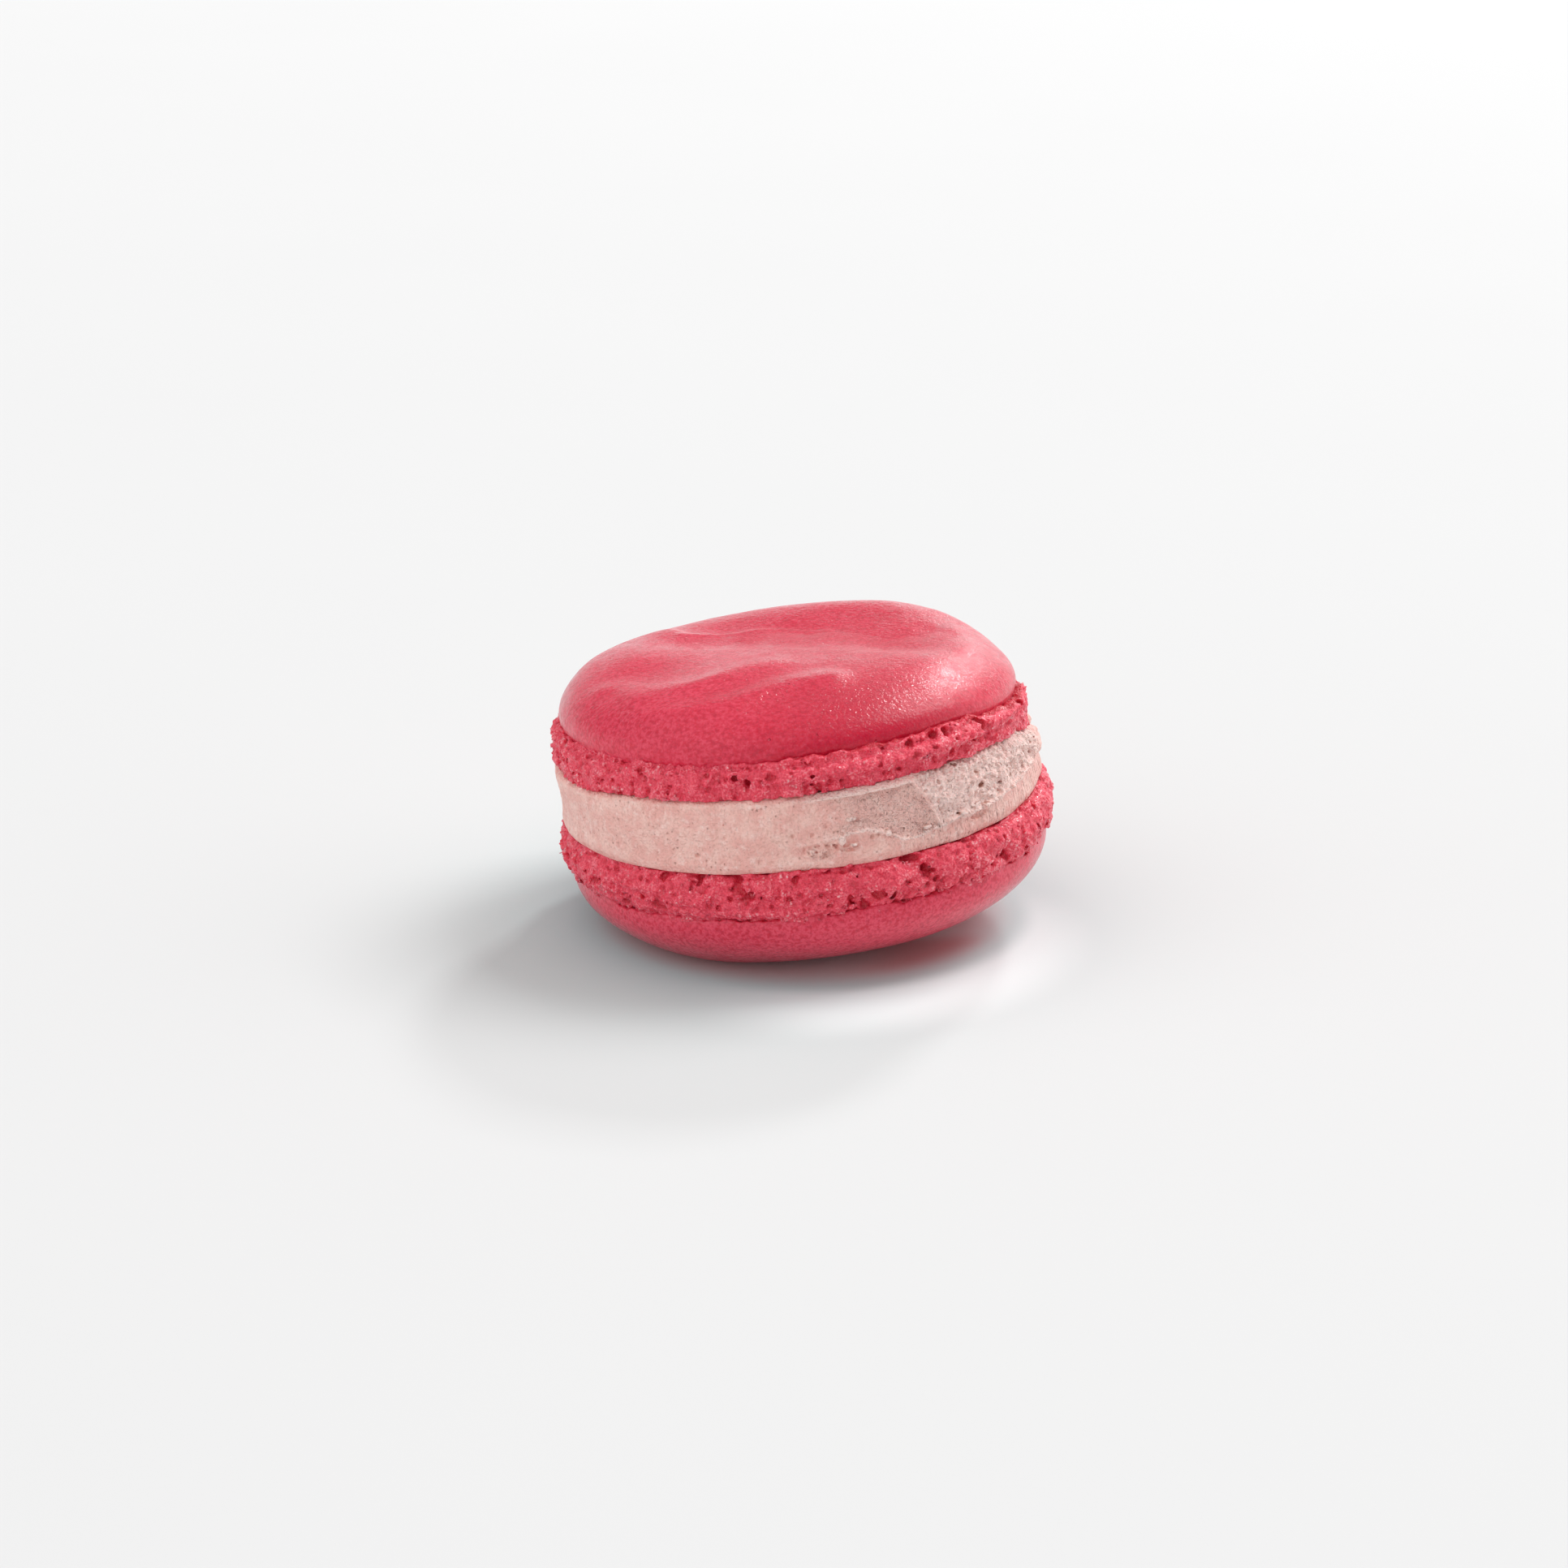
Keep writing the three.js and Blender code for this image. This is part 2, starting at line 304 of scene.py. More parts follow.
# How far the side's small forms stand out, or lie in below zero.
RISES = {
    "lip": 0.2,
    "ragged_lip": 0.4,
    "strip": 0.3,
    "flake": 0.55,
    "under_flake": -0.25,
    "cavity": -0.35,
    "right": -0.45,
    "film": 0.5,
    "smear": 0.5,
    "rubble": 1.1,
}

# The filling's bubbles: cell, smallest and largest radius, and the share of cells with one.
CREAM_PITS = (1.1, 0.06, 0.17, 0.35)
CREAM_SPECKS = (0.5, 0.04, 0.1, 0.5)
CREAM_FROTH = (0.75, 0.08, 0.24, 0.5)

# Millimetres along the filling's side for each radian round it.
GIRTH = 22.0

# The blocks of samples that the feet and the filling are shaped in: how far one reaches out past the
# belly, how far its plain core lies inside the groove or rim, how far it reaches below and above the
# piece, and the middle and half-width of the finely shaped band inside the belly. A foot's roof lies
# under the top of its block, and the filling's above the solid's.
FOOT_BLOCK = {"out": 1.4, "core": 2.6, "below": 2.3, "above": 1.1, "roof": 0.65, "band": (0.7, 2.0)}
CREAM_BLOCK = {"out": 0.9, "core": 2.0, "below": 0.4, "above": 0.9, "roof": 0.1, "band": (0.55, 1.35)}


# ---- Settings ----


def colour(name, description, default):
    return FloatVectorProperty(
        name=name, description=description, default=default, subtype="COLOR", size=3, min=0, max=1
    )


def amount(name, description, default, high, low=0, **unit):
    return FloatProperty(name=name, description=description, default=default, min=low, max=high, **unit)


class MacaronMesh(bpy.types.PropertyGroup):
    grain: amount(
        "Grain",
        "Spacing of the samples that the feet and the filling are shaped from, in millimetres",
        default=0.115,
        high=0.5,
        low=0.08,
    )
    rings: IntProperty(
        name="Cap rings",
        description="Rings of quads from the crown of a cap to its rim",
        default=155,
        min=20,
        max=157,
    )
    limit: IntProperty(
        name="Faces",
        description="The most triangles that one piece may have",
        default=190000,
        min=1000,
        max=200000,
    )


class MacaronShellLook(bpy.types.PropertyGroup):
    skin: colour("Skin", "Colour of the smooth baked skin", (0.65, 0.0115, 0.05))
    # The deeper colour: random mottles, and painted shade low on the upper cap's front.
    deep_and_shade: colour("Deep skin", "Deeper colour low on the skin's front", (0.49, 0.006, 0.034))
    # Paler clouds at random, and painted sheen towards the skin's left, on the lower shell nearly all over.
    blush_and_sheen: colour("Blush", "Paler colour that clouds the skin", (0.77, 0.07, 0.126))
    crumb: colour("Crumb", "Colour of the rough foot", (0.89, 0.06, 0.117))
    # Darker random grain of skin and crumb, and painted shade in the foot's hollows and the skin's
    # pinholes.
    pits: colour("Pits", "Colour inside the foot's hollows", (0.6, 0.003, 0.028))
    # Random paler specks on the skin, and painted light on the foot's raised grains, most at its right.
    sugar: colour("Sugar", "Colour of the palest grains", (0.96, 0.24, 0.29))
    # Bare sugar in the crumb, its near-white colour partly a painted glint.
    crystal_and_glint: colour("Crystal", "Colour of the bare sugar in the crumb", (1.0, 0.5, 0.52))
    roughness: amount("Roughness", "How dull the skin is", 0.4, 1, subtype="FACTOR")


class MacaronCreamLook(bpy.types.PropertyGroup):
    cream: colour("Cream", "Colour of the buttercream", (0.93, 0.58, 0.515))
    pink: colour("Pink", "Deeper colour that clouds the buttercream", (0.86, 0.45, 0.4))
    # The greyer cut face, and painted shade in the middle of its froth hollows.
    panel: colour("Panel", "Greyer colour where a knife has cut it", (0.88, 0.57, 0.515))
    # The broken cream's own paler colour, and painted light on the torn side's lip, bevel, strip and
    # flakes.
    torn: colour("Torn", "Paler colour where it has broken", (1.0, 0.73, 0.675))
    # Random darker fine grain, and painted shade in the side's hollows and air holes.
    holes: colour("Holes", "Colour inside its air holes", (0.58, 0.28, 0.22))
    roughness: amount("Roughness", "How dull the cream is", 0.55, 1, subtype="FACTOR")


class MacaronStudio(bpy.types.PropertyGroup):
    floor: colour("Floor", "Colour of the table", (0.705, 0.705, 0.705))
    walls: amount("Walls", "Brightness of the white room near the table", 0.92, 10)
    behind: amount("Behind", "How much brighter the wall is behind the macaron", 0.8, 10)
    gap: amount("Gap", "Brightness of the room above its walls", 0.18, 10)
    ceiling: amount("Ceiling", "Brightness of the light cloth overhead", 0.6, 10)
    card: amount("Card", "Brightness of the white card at the front left", 0.88, 10)
    side: amount("Side card", "Brightness of the white card at the right", 1.1, 10)
    shade: amount("Shade", "How much of the walls' light is left in front", 0.6, 1, subtype="FACTOR")
    key: amount("Key", "Power of the softbox, in watts", 83.5, 1000)
    glint: amount("Glint", "Power of the small light behind, in watts", 40, 1000)
    softbox: amount("Softbox", "Width of the softbox", 2.0, 10, 0.05, unit="LENGTH")
    elevation: amount(
        "Elevation", "How steeply the camera looks down", math.radians(17.4), math.pi / 2, subtype="ANGLE"
    )
    distance: amount("Distance", "From the camera to the macaron's centre", 0.35, 10, 0.1, unit="LENGTH")


# ---- Seeded noise ----


def lattice(i, j, k, seed):
    """A random number from 0 to 1 for each whole-numbered place."""
    i, j, k = (each.astype(np.int64).astype(np.uint32) for each in (i, j, k))
    h = (i * np.uint32(0x27D4EB2D)) ^ (j * np.uint32(0x165667B1)) ^ (k * np.uint32(0x9E3779B1))
    h ^= np.uint32(seed * 0x85EBCA6B & 0xFFFFFFFF)
    h = (h ^ (h >> np.uint32(15))) * np.uint32(0x2C1B3C6D)
    h = (h ^ (h >> np.uint32(12))) * np.uint32(0x297A2D39)
    return ((h ^ (h >> np.uint32(15))) / np.float32(4294967296)).astype(np.float32)


def fade(t):
    return t * t * (3 - 2 * t)


def smoothstep(low, high, t):
    return fade(np.clip((t - low) / (high - low), 0, 1))


def mix(a, b, t):
    return a + (b - a) * t


def noise(x, y, z, seed):
    """Smooth noise from -1 to 1, with features about one unit across."""
    i, j, k = np.floor(x), np.floor(y), np.floor(z)
    u, v, w = fade(x - i), fade(y - j), fade(z - k)

    def edge(dj, dk):
        return mix(lattice(i, j + dj, k + dk, seed), lattice(i + 1, j + dj, k + dk, seed), u)

    return 2 * mix(mix(edge(0, 0), edge(1, 0), v), mix(edge(0, 1), edge(1, 1), v), w) - 1


def rough(x, y, z, size, seed, octaves=3, gain=0.5):
    """Several sizes of noise over each other, each half the last and weaker."""
    total, weight, weights = 0, 1, 0
    for octave in range(octaves):
        scale = 2**octave / size
        total = total + weight * noise(x * scale, y * scale, z * scale, seed + octave)
        weights += weight
        weight *= gain
    return total / weights


def rough_plan(x, y, size, seed, octaves=3, gain=0.5):
    """Noise as rough makes it, but the same at every height."""
    return rough(x, y, np.zeros_like(x), size, seed, octaves, gain)


def bubbles(x, y, z, cell, smallest, largest, share, seed):
    """The distance to the nearest of many round bubbles, below zero inside one.

    Each cell of space holds at most one, and share is the chance that it does. No bubble is wider
    than a cell, so a point looks only into the eight cells round it.
    """
    nearest = np.full(np.shape(x), 9.0, np.float32)
    x, y, z = x / cell, y / cell, z / cell
    low = [np.floor(each - 0.5) for each in (x, y, z)]
    for corner in range(8):
        i, j, k = (low[axis] + (corner >> axis & 1) for axis in range(3))
        pick = lattice(i, j, k, seed + 3)
        held = pick < share
        i, j, k, pick = i[held], j[held], k[held], pick[held]
        dx = x[held] - i - lattice(i, j, k, seed)
        dy = y[held] - j - lattice(i, j, k, seed + 1)
        dz = z[held] - k - lattice(i, j, k, seed + 2)
        radius = mix(smallest, largest, pick / share) / cell
        distance = np.sqrt(dx * dx + dy * dy + dz * dz) - radius
        nearest[held] = np.minimum(nearest[held], distance)
    return nearest * cell


# ---- Meshes ----


def make_piece(name, points, faces, material):
    """A smooth mesh object from points in millimetres, still upright."""
    mesh = bpy.data.meshes.new(name)
    mesh.vertices.add(len(points))
    mesh.vertices.foreach_set("co", (points * MM).astype(np.float32).ravel())
    sizes = np.array([len(face) for face in faces])
    corners = np.concatenate(faces).astype(np.int32)
    mesh.loops.add(len(corners))
    mesh.loops.foreach_set("vertex_index", corners)
    mesh.polygons.add(len(sizes))
    mesh.polygons.foreach_set("loop_start", (np.cumsum(sizes) - sizes).astype(np.int32))
    mesh.polygons.foreach_set("use_smooth", np.ones(len(sizes), bool))
    mesh.update(calc_edges=True)
    mesh.validate()
    mesh.materials.append(material)
    piece = bpy.data.objects.new(name, mesh)
    bpy.context.scene.collection.objects.link(piece)
    return piece


def thin_out(piece, limit):
    """Merges faces where the surface is flattest until the piece has no more than limit triangles."""
    triangles = sum(len(face.vertices) - 2 for face in piece.data.polygons)
    if triangles <= limit:
        return
    decimate = piece.modifiers.new("Thin out", "DECIMATE")
    decimate.ratio = limit / triangles
    graph = bpy.context.evaluated_depsgraph_get()
    thinned = bpy.data.meshes.new_from_object(piece.evaluated_get(graph), depsgraph=graph)
    piece.modifiers.clear()
    piece.data = thinned


def mark(piece, name, measure):
    """Stores a number at each point of a piece, worked out by measure(x, y, z) in the upright frame."""
    count = len(piece.data.vertices)
    flat = np.zeros(count * 3, np.float32)
    piece.data.vertices.foreach_get("co", flat)
    x, y, z = flat.reshape(-1, 3).T / MM
    attribute = piece.data.attributes.new(name, "FLOAT", "POINT")
    attribute.data.foreach_set("value", measure(x, y, z).astype(np.float32))


def hand_over(piece, node):
    """Leans a finished piece on the table, hangs it from the root body and hides the node whose surface it
    is.
    """
    piece.data.transform(Matrix.Translation(CENTRE * MM) @ Matrix.Rotation(-LEAN, 4, "Y"))
    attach(piece, "root")
    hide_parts(node)


def surface_net(field, corner, spacing):
    """Quads round the part of a block of samples that is below zero, and their points.

    Each cell that the surface crosses gets one point, the mean of where it crosses the cell's edges.
    """
    solid = field < 0
    unit = np.eye(3, dtype=int)
    cells, crossings, quads = [], [], []
    for axis in range(3):
        near, far = [slice(None)] * 3, [slice(None)] * 3
        near[axis], far[axis] = slice(0, -1), slice(1, None)
        start = np.argwhere(solid[tuple(near)] != solid[tuple(far)])
        a, b = field[tuple(start.T)], field[tuple((start + unit[axis]).T)]
        point = start + unit[axis] * (a / (a - b))[:, None]
        u, v = unit[(axis + 1) % 3], unit[(axis + 2) % 3]
        round_edge = [start, start - u, start - u - v, start - v]
        ids = np.stack([np.ravel_multi_index(each.T, field.shape) for each in round_edge], 1)
        cells.append(ids.ravel())
        crossings.append(np.repeat(point, 4, 0))
        leaving = solid[tuple(start.T)]
        quads.append(np.where(leaving[:, None], ids, ids[:, ::-1]))
    crossings = np.concatenate(crossings)
    used, index = np.unique(np.concatenate(cells), return_inverse=True)
    count = np.bincount(index)
    points = np.stack([np.bincount(index, crossings[:, axis]) / count for axis in range(3)], 1)
    return corner + points * spacing, np.searchsorted(used, np.concatenate(quads))


def largest_body(points, faces):
    """Only the largest of the separate bodies in a net: loose crumbs and shut bubbles go."""
    label = np.arange(len(points))
    ends = np.concatenate([faces[:, (side, (side + 1) % 4)] for side in range(4)])
    settled = False
    while not settled:
        low = np.minimum(label[ends[:, 0]], label[ends[:, 1]])
        before = label.copy()
        np.minimum.at(label, ends[:, 0], low)
        np.minimum.at(label, ends[:, 1], low)
        label = label[label]
        settled = (label == before).all()
    names, sizes = np.unique(label, return_counts=True)
    keep = label == names[sizes.argmax()]
    new_index = np.cumsum(keep) - 1
    return points[keep], new_index[faces[keep[faces[:, 0]]]]


def relax(points, faces, steps):
    """Moves each point half way to the mean of its neighbours, to smooth a net's stairs."""
    ends = np.concatenate([faces[:, (side, (side + 1) % 4)] for side in range(4)])
    count = np.bincount(ends[:, 0], minlength=len(points))[:, None]
    for _ in range(steps):
        near = [np.bincount(ends[:, 0], points[ends[:, 1], axis], len(points)) for axis in range(3)]
        points = 0.5 * (points + np.stack(near, 1) / count)
    return points


def smooth_net(field, corner, spacing, steps):
    """The largest body that a block of samples holds, as a net relaxed so many times."""
    points, faces = largest_body(*surface_net(field, corner, spacing))
    return relax(points, faces, steps), faces


def disc_grid(rings):
    """A disc of quads in square rings: each point's ring and angle, the faces, and the rim's points."""
    steps = np.arange(-rings, rings + 1)
    a, b = np.meshgrid(steps, steps, indexing="ij")
    wide = abs(a) > abs(b)
    reach = np.where(wide, a, b)
    safe = np.where(reach == 0, 1, reach)
    turn = np.where(wide, math.pi / 4 * b / safe, math.pi / 2 - math.pi / 4 * a / safe)
    angle = np.arctan2(reach * np.sin(turn), reach * np.cos(turn))
    n = 2 * rings + 1
    ids = np.arange(n * n).reshape(n, n)
    faces = np.stack([ids[:-1, :-1], ids[1:, :-1], ids[1:, 1:], ids[:-1, 1:]], -1).reshape(-1, 4)
    border = np.concatenate([ids[:-1, 0], ids[-1, :-1], ids[:0:-1, -1], ids[0, :0:-1]])
    return abs(reach).ravel(), angle.ravel(), faces, border


# ---- Shapes that the shells share ----


def outline(angle, seed):
    """A disc's radius at an angle, as a factor of its mean one."""
    swells = 1.3
    level = np.full_like(angle, 0.5)
    return 1 + UNEVENNESS * noise(swells * np.cos(angle), swells * np.sin(angle), level, seed)


def settle(x):
    """How much the settled upper shell and the cream under it rise or sink at a point."""
    return SETTLE["slope"] * x - SETTLE["drop"]


def bump_at(x, y, bump):
    """The height of one soft swell or hollow at a point."""
    cx, cy, along, across, turn, height = bump
    turn = math.radians(turn)
    dx, dy = x - cx, y - cy
    u = (dx * math.cos(turn) + dy * math.sin(turn)) / along
    v = (dy * math.cos(turn) - dx * math.sin(turn)) / across
    return height * np.exp(-u * u - v * v)


def foot_radius(foot, t):
    """The radius of a foot at a share t of its height, from the lip at the filling to the groove."""
    below = mix(foot["lip"], foot["belly"], np.sqrt(np.clip(1 - (t / FOOT_BELLY - 1) ** 2, 0, 1)))
    fall = (t - FOOT_BELLY) / (1 - FOOT_BELLY)
    above = mix(foot["groove"], foot["belly"], np.sqrt(np.clip(1 - fall**2, 0, 1)))
    return np.where(t < FOOT_BELLY, below, above)


def foot_relief(relief, angle, radius, z):
    """The height of a foot's single lumps and hollows at a point."""
    height = np.zeros_like(angle)
    for degrees, level, width, rise in relief:
        turn = angle - math.radians(degrees)
        around = 2 * radius * np.sin(turn / 2)
        distance = np.hypot(around, z - level) / width
        height += np.where(np.cos(turn) > 0, rise * np.exp(-distance * distance), 0)
    return height


def top_edge(angle):
    """How far the filling's top edge is above its solid's at an angle."""
    return np.interp(np.degrees(angle), *zip(*TOP_EDGE)).astype(np.float32)


def droop(angle, share):
    """How far the upper cap's rim sinks at an angle and a share of its radius."""
    facing = np.cos(angle - math.radians(DROOP["at"]))
    at_rim = smoothstep(0.7, 1, share)
    return DROOP["height"] * smoothstep(DROOP["from"], DROOP["full"], facing) * at_rim


def bulge(angle):
    """Where the upper foot stands out under its cap, 0 to 1."""
    facing = np.cos(angle - math.radians(BULGE["at"]))
    end, full = (math.radians(degrees) for degrees in BULGE["ends"])
    return smoothstep(BULGE["from"], BULGE["full"], facing) * smoothstep(end, full, angle)


def back_right(angle):
    """Where the upper foot keeps back behind its cap, 0 to 1."""
    return smoothstep(BACK["from"], BACK["full"], angle) * (angle < BACK["end"])


def foot_surface(shell, angle, height):
    """The radius of a foot's nominal surface, with its lumps and hollows but not its crumb."""
    t = (height - shell["face"]) / shell["foot"]["height"]
    z = shell["side"] * height
    base = foot_radius(shell["foot"], t)
    x, y = base * np.cos(angle), base * np.sin(angle)
    layers = [
        share * noise(x / size, y / size, CRUMB["flat"] * z / size, shell["seed"] + step)
        for step, (share, size) in enumerate(CRUMB["layers"])
    ]
    if shell["side"] > 0:
        flush = BULGE["flush"] * smoothstep(0.6, 1, t)
        base = base + mix(flush, BULGE["height"] * smoothstep(0.4, 0.8, t), bulge(angle))
        base = base - BACK["depth"] * back_right(angle)
    hold = np.clip(1 - 0.4 * t, 0.4, 1)
    rolls = CRUMB["height"] * hold * sum(layers)
    return base * outline(angle, shell["seed"]) + rolls + foot_relief(shell["relief"], angle, base, z)


def carve(solid, x, y, z, angle, surface, holes):
    """Cuts single round holes into a solid, each centred a little under its surface."""
    for degrees, level, radius in holes:
        turn = math.radians(degrees)
        near = (np.cos(angle - turn) > 0.99) & (abs(z - level) < 2)
        reach = surface[near] - 0.35 * radius
        dx = x[near] - reach * math.cos(turn)
        dy = y[near] - reach * math.sin(turn)
        ball = np.sqrt(dx * dx + dy * dy + (z[near] - level) ** 2) - radius
        ball += 0.4 * radius * noise(x[near] / 0.5, y[near] / 0.5, z[near] / 0.5, 90)
        ball = np.minimum(-ball, solid[near] + 1.3 * radius)
        solid[near] = soften(solid[near], ball, 0.2)
    return solid


def lumps(x, y, z, size, seed, octaves=3, gain=0.55):
    """Rounded lumps with sharp valleys between them, about -0.5 to 0.5."""
    total, weight, weights = 0, 1, 0
    for octave in range(octaves):
        scale = 2**octave / size
        total = total + weight * abs(noise(x * scale, y * scale, z * scale, seed + octave))
        weights += weight
        weight *= gain
    return 2 * total / weights - 0.5


def soften(a, b, edge):
    """The larger of two distances, with the corner between them rounded off."""
    return np.maximum(a, b) + np.maximum(edge - abs(a - b), 0) ** 2 / (4 * edge)


def foot_net(shell, spacing):
    """The net of a foot: a ring of crumb, open bubbles and grains round a plain core."""
    foot, face, side, seed = shell["foot"], shell["face"], shell["side"], shell["seed"]
    reach = foot["belly"] + FOOT_BLOCK["out"]
    inner = foot["groove"] - FOOT_BLOCK["core"]
    top = face + foot["height"] + FOOT_BLOCK["above"]
    middle, half = FOOT_BLOCK["band"]
    across = np.arange(-reach, reach, spacing, dtype=np.float32)
    levels = np.arange(face - FOOT_BLOCK["below"], top + 3 * spacing, spacing, dtype=np.float32)
    x, y, height = np.meshgrid(across, across, levels, indexing="ij")
    radius = np.hypot(x, y)
    field = np.maximum(inner - radius, radius - foot["belly"])
    floor = np.full(field.shape, face - shell["edge"]["over"], np.float32)
    roof = np.full(field.shape, top - FOOT_BLOCK["roof"], np.float32)
    near = abs(radius - foot["belly"] + middle) < half
    x, y, height, radius = x[near], y[near], height[near], radius[near]
    angle, z = np.arctan2(y, x), side * height
    surface = foot_surface(shell, angle, height)
    crumb = radius - surface
    calm = smoothstep(0.8, 0.98, np.cos(angle))
    crumb -= mix(CRAGS["height"], CRAGS["calm"], calm) * lumps(x, y, z, 1.0, seed + 20, 3, 0.65)
    crumb -= CRAGS["grain"] * smoothstep(0.16, -0.12, bubbles(x, y, z, *GRAINS, seed + 30))
    for step, (cell, smallest, largest, share) in enumerate(shell["bubbles"]):
        ball = bubbles(x, y, z, cell, smallest, largest, share, seed + 40 + 5 * step)
        ball += 0.35 * smallest * noise(x / 0.3, y / 0.3, z / 0.3, seed + 42 + 5 * step)
        crumb = soften(crumb, np.minimum(-ball, crumb + 1.5 * smallest), 0.35 * smallest)
    crumb = carve(crumb, x, y, z, angle, surface, shell["holes"])
    field[near] = np.maximum(crumb, inner - radius)
    floor[near] += shell["edge"]["foot"] * rough_plan(x, y, 1.3, seed + 60, 4, 0.65)
    roof[near] += CRAGS["rim"] * rough_plan(x, y, 1.0, seed + 65, 3, 0.7)
    if side > 0:
        lift = BULGE["lift"] * bulge(angle) - DROOP["foot"] * droop(angle, 1)
        roof[near] += lift - BACK["drop"] * back_right(angle)
        floor[near] += top_edge(angle)
    field = np.maximum(field, np.maximum(floor - levels, levels - roof))
    points, faces = smooth_net(field, np.array([-reach, -reach, levels[0]]), spacing, 2)
    if side < 0:
        faces = faces[:, ::-1]
    return points * (1, 1, side), faces


def cap_profile(shell, rings):
    """Radius and height of a cap's rings, evenly spaced from the crown to the rim and in under it."""
    cap = shell["cap"]
    level = shell["face"] + shell["foot"]["height"]
    lift, tuck, tuck_steps = 0.1, 1.2, 19
    u = np.sin(np.linspace(0, math.pi / 2, 600))
    dome_r = cap["widest"] * u
    dome_z = level + cap["rise"] + cap["crown"] * np.sqrt(1 - u ** cap["flatness"])
    turn = np.linspace(0, math.pi / 2, 60)[1:]
    skirt_r = cap["rim"] + (cap["widest"] - cap["rim"]) * np.cos(turn)
    skirt_z = level + cap["rise"] * (1 - np.sin(turn)) + lift
    tuck_r = np.linspace(cap["rim"], cap["rim"] - tuck, tuck_steps + 1)[1:]
    tuck_z = np.full(tuck_steps, level + lift)
    radius = np.concatenate([dome_r, skirt_r, tuck_r])
    height = np.concatenate([dome_z, skirt_z, tuck_z])
    length = np.concatenate([[0], np.cumsum(np.hypot(np.diff(radius), np.diff(height)))])
    even = np.linspace(0, length[-1], rings + 1)
    return np.interp(even, length, radius), np.interp(even, length, height)


def cap_mesh(shell, rings, relief):
    """A cap's points and faces. relief(x, y, share, on_dome) is added to its height, in millimetres."""
    cap, side = shell["cap"], shell["side"]
    level = shell["face"] + shell["foot"]["height"]
    radii, heights = cap_profile(shell, rings)
    ring, angle, faces, border = disc_grid(rings)
    radius, height = radii[ring], heights[ring]
    share = radius / cap["widest"]
    on_dome = height > level + cap["rise"]
    swell = 1 + (outline(angle, shell["seed"]) - 1) * share
    x = cap["offset"] * np.where(on_dome, 1 - share**2, 0) + radius * swell * np.cos(angle)
    y = radius * swell * np.sin(angle)
    skirt = np.clip((level + cap["rise"] - height) / cap["rise"], 0, 1)
    ragged = rough_plan(x, y, 2.4, shell["seed"] + 70, 4, 0.65)
    height = height - shell["edge"]["cap"] * ragged * skirt
    height = height + relief(x, y, share, on_dome)
    if side > 0:
        height = height - droop(angle, share)
    settled = settle(x) * smoothstep(level + cap["crown"], level, height) if side > 0 else 0
    points = np.stack([x, y, side * height + settled], 1)
    points = np.concatenate([points, [[0, 0, side * (level + 0.4)]]])
    centre = len(points) - 1
    under = [(centre, second, first) for first, second in zip(border, np.roll(border, -1))]
    faces = [tuple(face) for face in faces] + under
    if side < 0:
        faces = [face[::-1] for face in faces]
    return points, faces


def fold_at(x, y, fold):
    """The height of a fold at a point: a soft ridge along a bent line, or a furrow."""
    line, before, behind, height, roundness = fold
    nearest, way = np.full_like(x, 99.0), np.zeros_like(x)
    for (ax, ay), (bx, by) in zip(line, line[1:]):
        dx, dy = bx - ax, by - ay
        along = np.clip(((x - ax) * dx + (y - ay) * dy) / (dx * dx + dy * dy), 0, 1)
        gap_x, gap_y = x - ax - along * dx, y - ay - along * dy
        distance = np.hypot(gap_x, gap_y)
        side = (dx * gap_y - dy * gap_x) / math.hypot(dx, dy) / np.maximum(distance, 1e-6)
        way = np.where(distance < nearest, side, way)
        nearest = np.minimum(nearest, distance)
    width = mix(before, behind, smoothstep(-1, 1, way))
    return height * np.exp(-((nearest / width) ** roundness))


def add_waves(height, x, y, seed):
    """A skin's height with its faint waviness."""
    for size, rise, step, octaves in SKIN_WAVES:
        height = height + rise * rough_plan(x, y, size, seed + step, octaves)
    return height


def top_relief(x, y, share, on_dome):
    """The sunken crown of the upper cap: the skin's dents, folds and faint waviness."""
    height = sum(bump_at(x, y, bump) for bump in WRINKLES) * smoothstep(1, 0.75, share)
    height += sum(bump_at(x, y, bump) for bump in TOP_SWELLS) * smoothstep(1.0, 0.9, share)
    sway_x, sway_y = (0.6 * rough_plan(x, y, 4, seed, 1) for seed in (71, 72))
    height += sum(fold_at(x + sway_x, y + sway_y, fold) for fold in FOLDS) * smoothstep(1, 0.85, share)
    return np.where(on_dome, add_waves(height, x, y, 81), 0)


def bottom_relief(x, y, share, on_dome):
    """The lower cap's swell and faint waviness, none of it where it stands."""
    height = add_waves(sum(bump_at(x, y, bump) for bump in BOTTOM_SWELLS), x, y, 91)
    return np.where(on_dome, height * smoothstep(0.25, 0.5, share), 0)


def place_shell(points, shell, settled):
    """Moves a shell's points off the axis, as its solid is."""
    moved = points + (*shell["shift"], 0)
    if settled:
        moved[:, 2] += settle(points[:, 0])
    return moved


def rest_on_table(points):
    """Flattens what would reach below the table."""
    table = -(CENTRE.z + math.sin(LEAN) * points[:, 0]) / math.cos(LEAN)
    points[:, 2] = np.maximum(points[:, 2], table)
    return points


# ---- The filling ----


def filling_radius(t):
    """The radius of the filling's plain side at a share t of its height."""
    edge = np.where(t < 0.5, FILLING["lip"], FILLING["rim"])
    fullness = np.sqrt(np.clip(1 - abs(2 * t - 1) ** FILLING["squareness"], 0, 1))
    return mix(edge, FILLING["belly"], fullness)


def patch(angle, z, degrees, level, half_width, half_height):
    """1 inside an oval spot on the filling's side, falling smoothly to 0 at its rim."""
    around = FILLING["belly"] * np.sin(angle - math.radians(degrees))
    inside = np.hypot(around / half_width, (z - level) / half_height)
    return smoothstep(1, 0.6, np.where(np.cos(angle - math.radians(degrees)) > 0, inside, 9))


def ridge(offset, width):
    """1 on a line and nearly 0 further from it than width."""
    return np.exp(-((offset / width) ** 2))


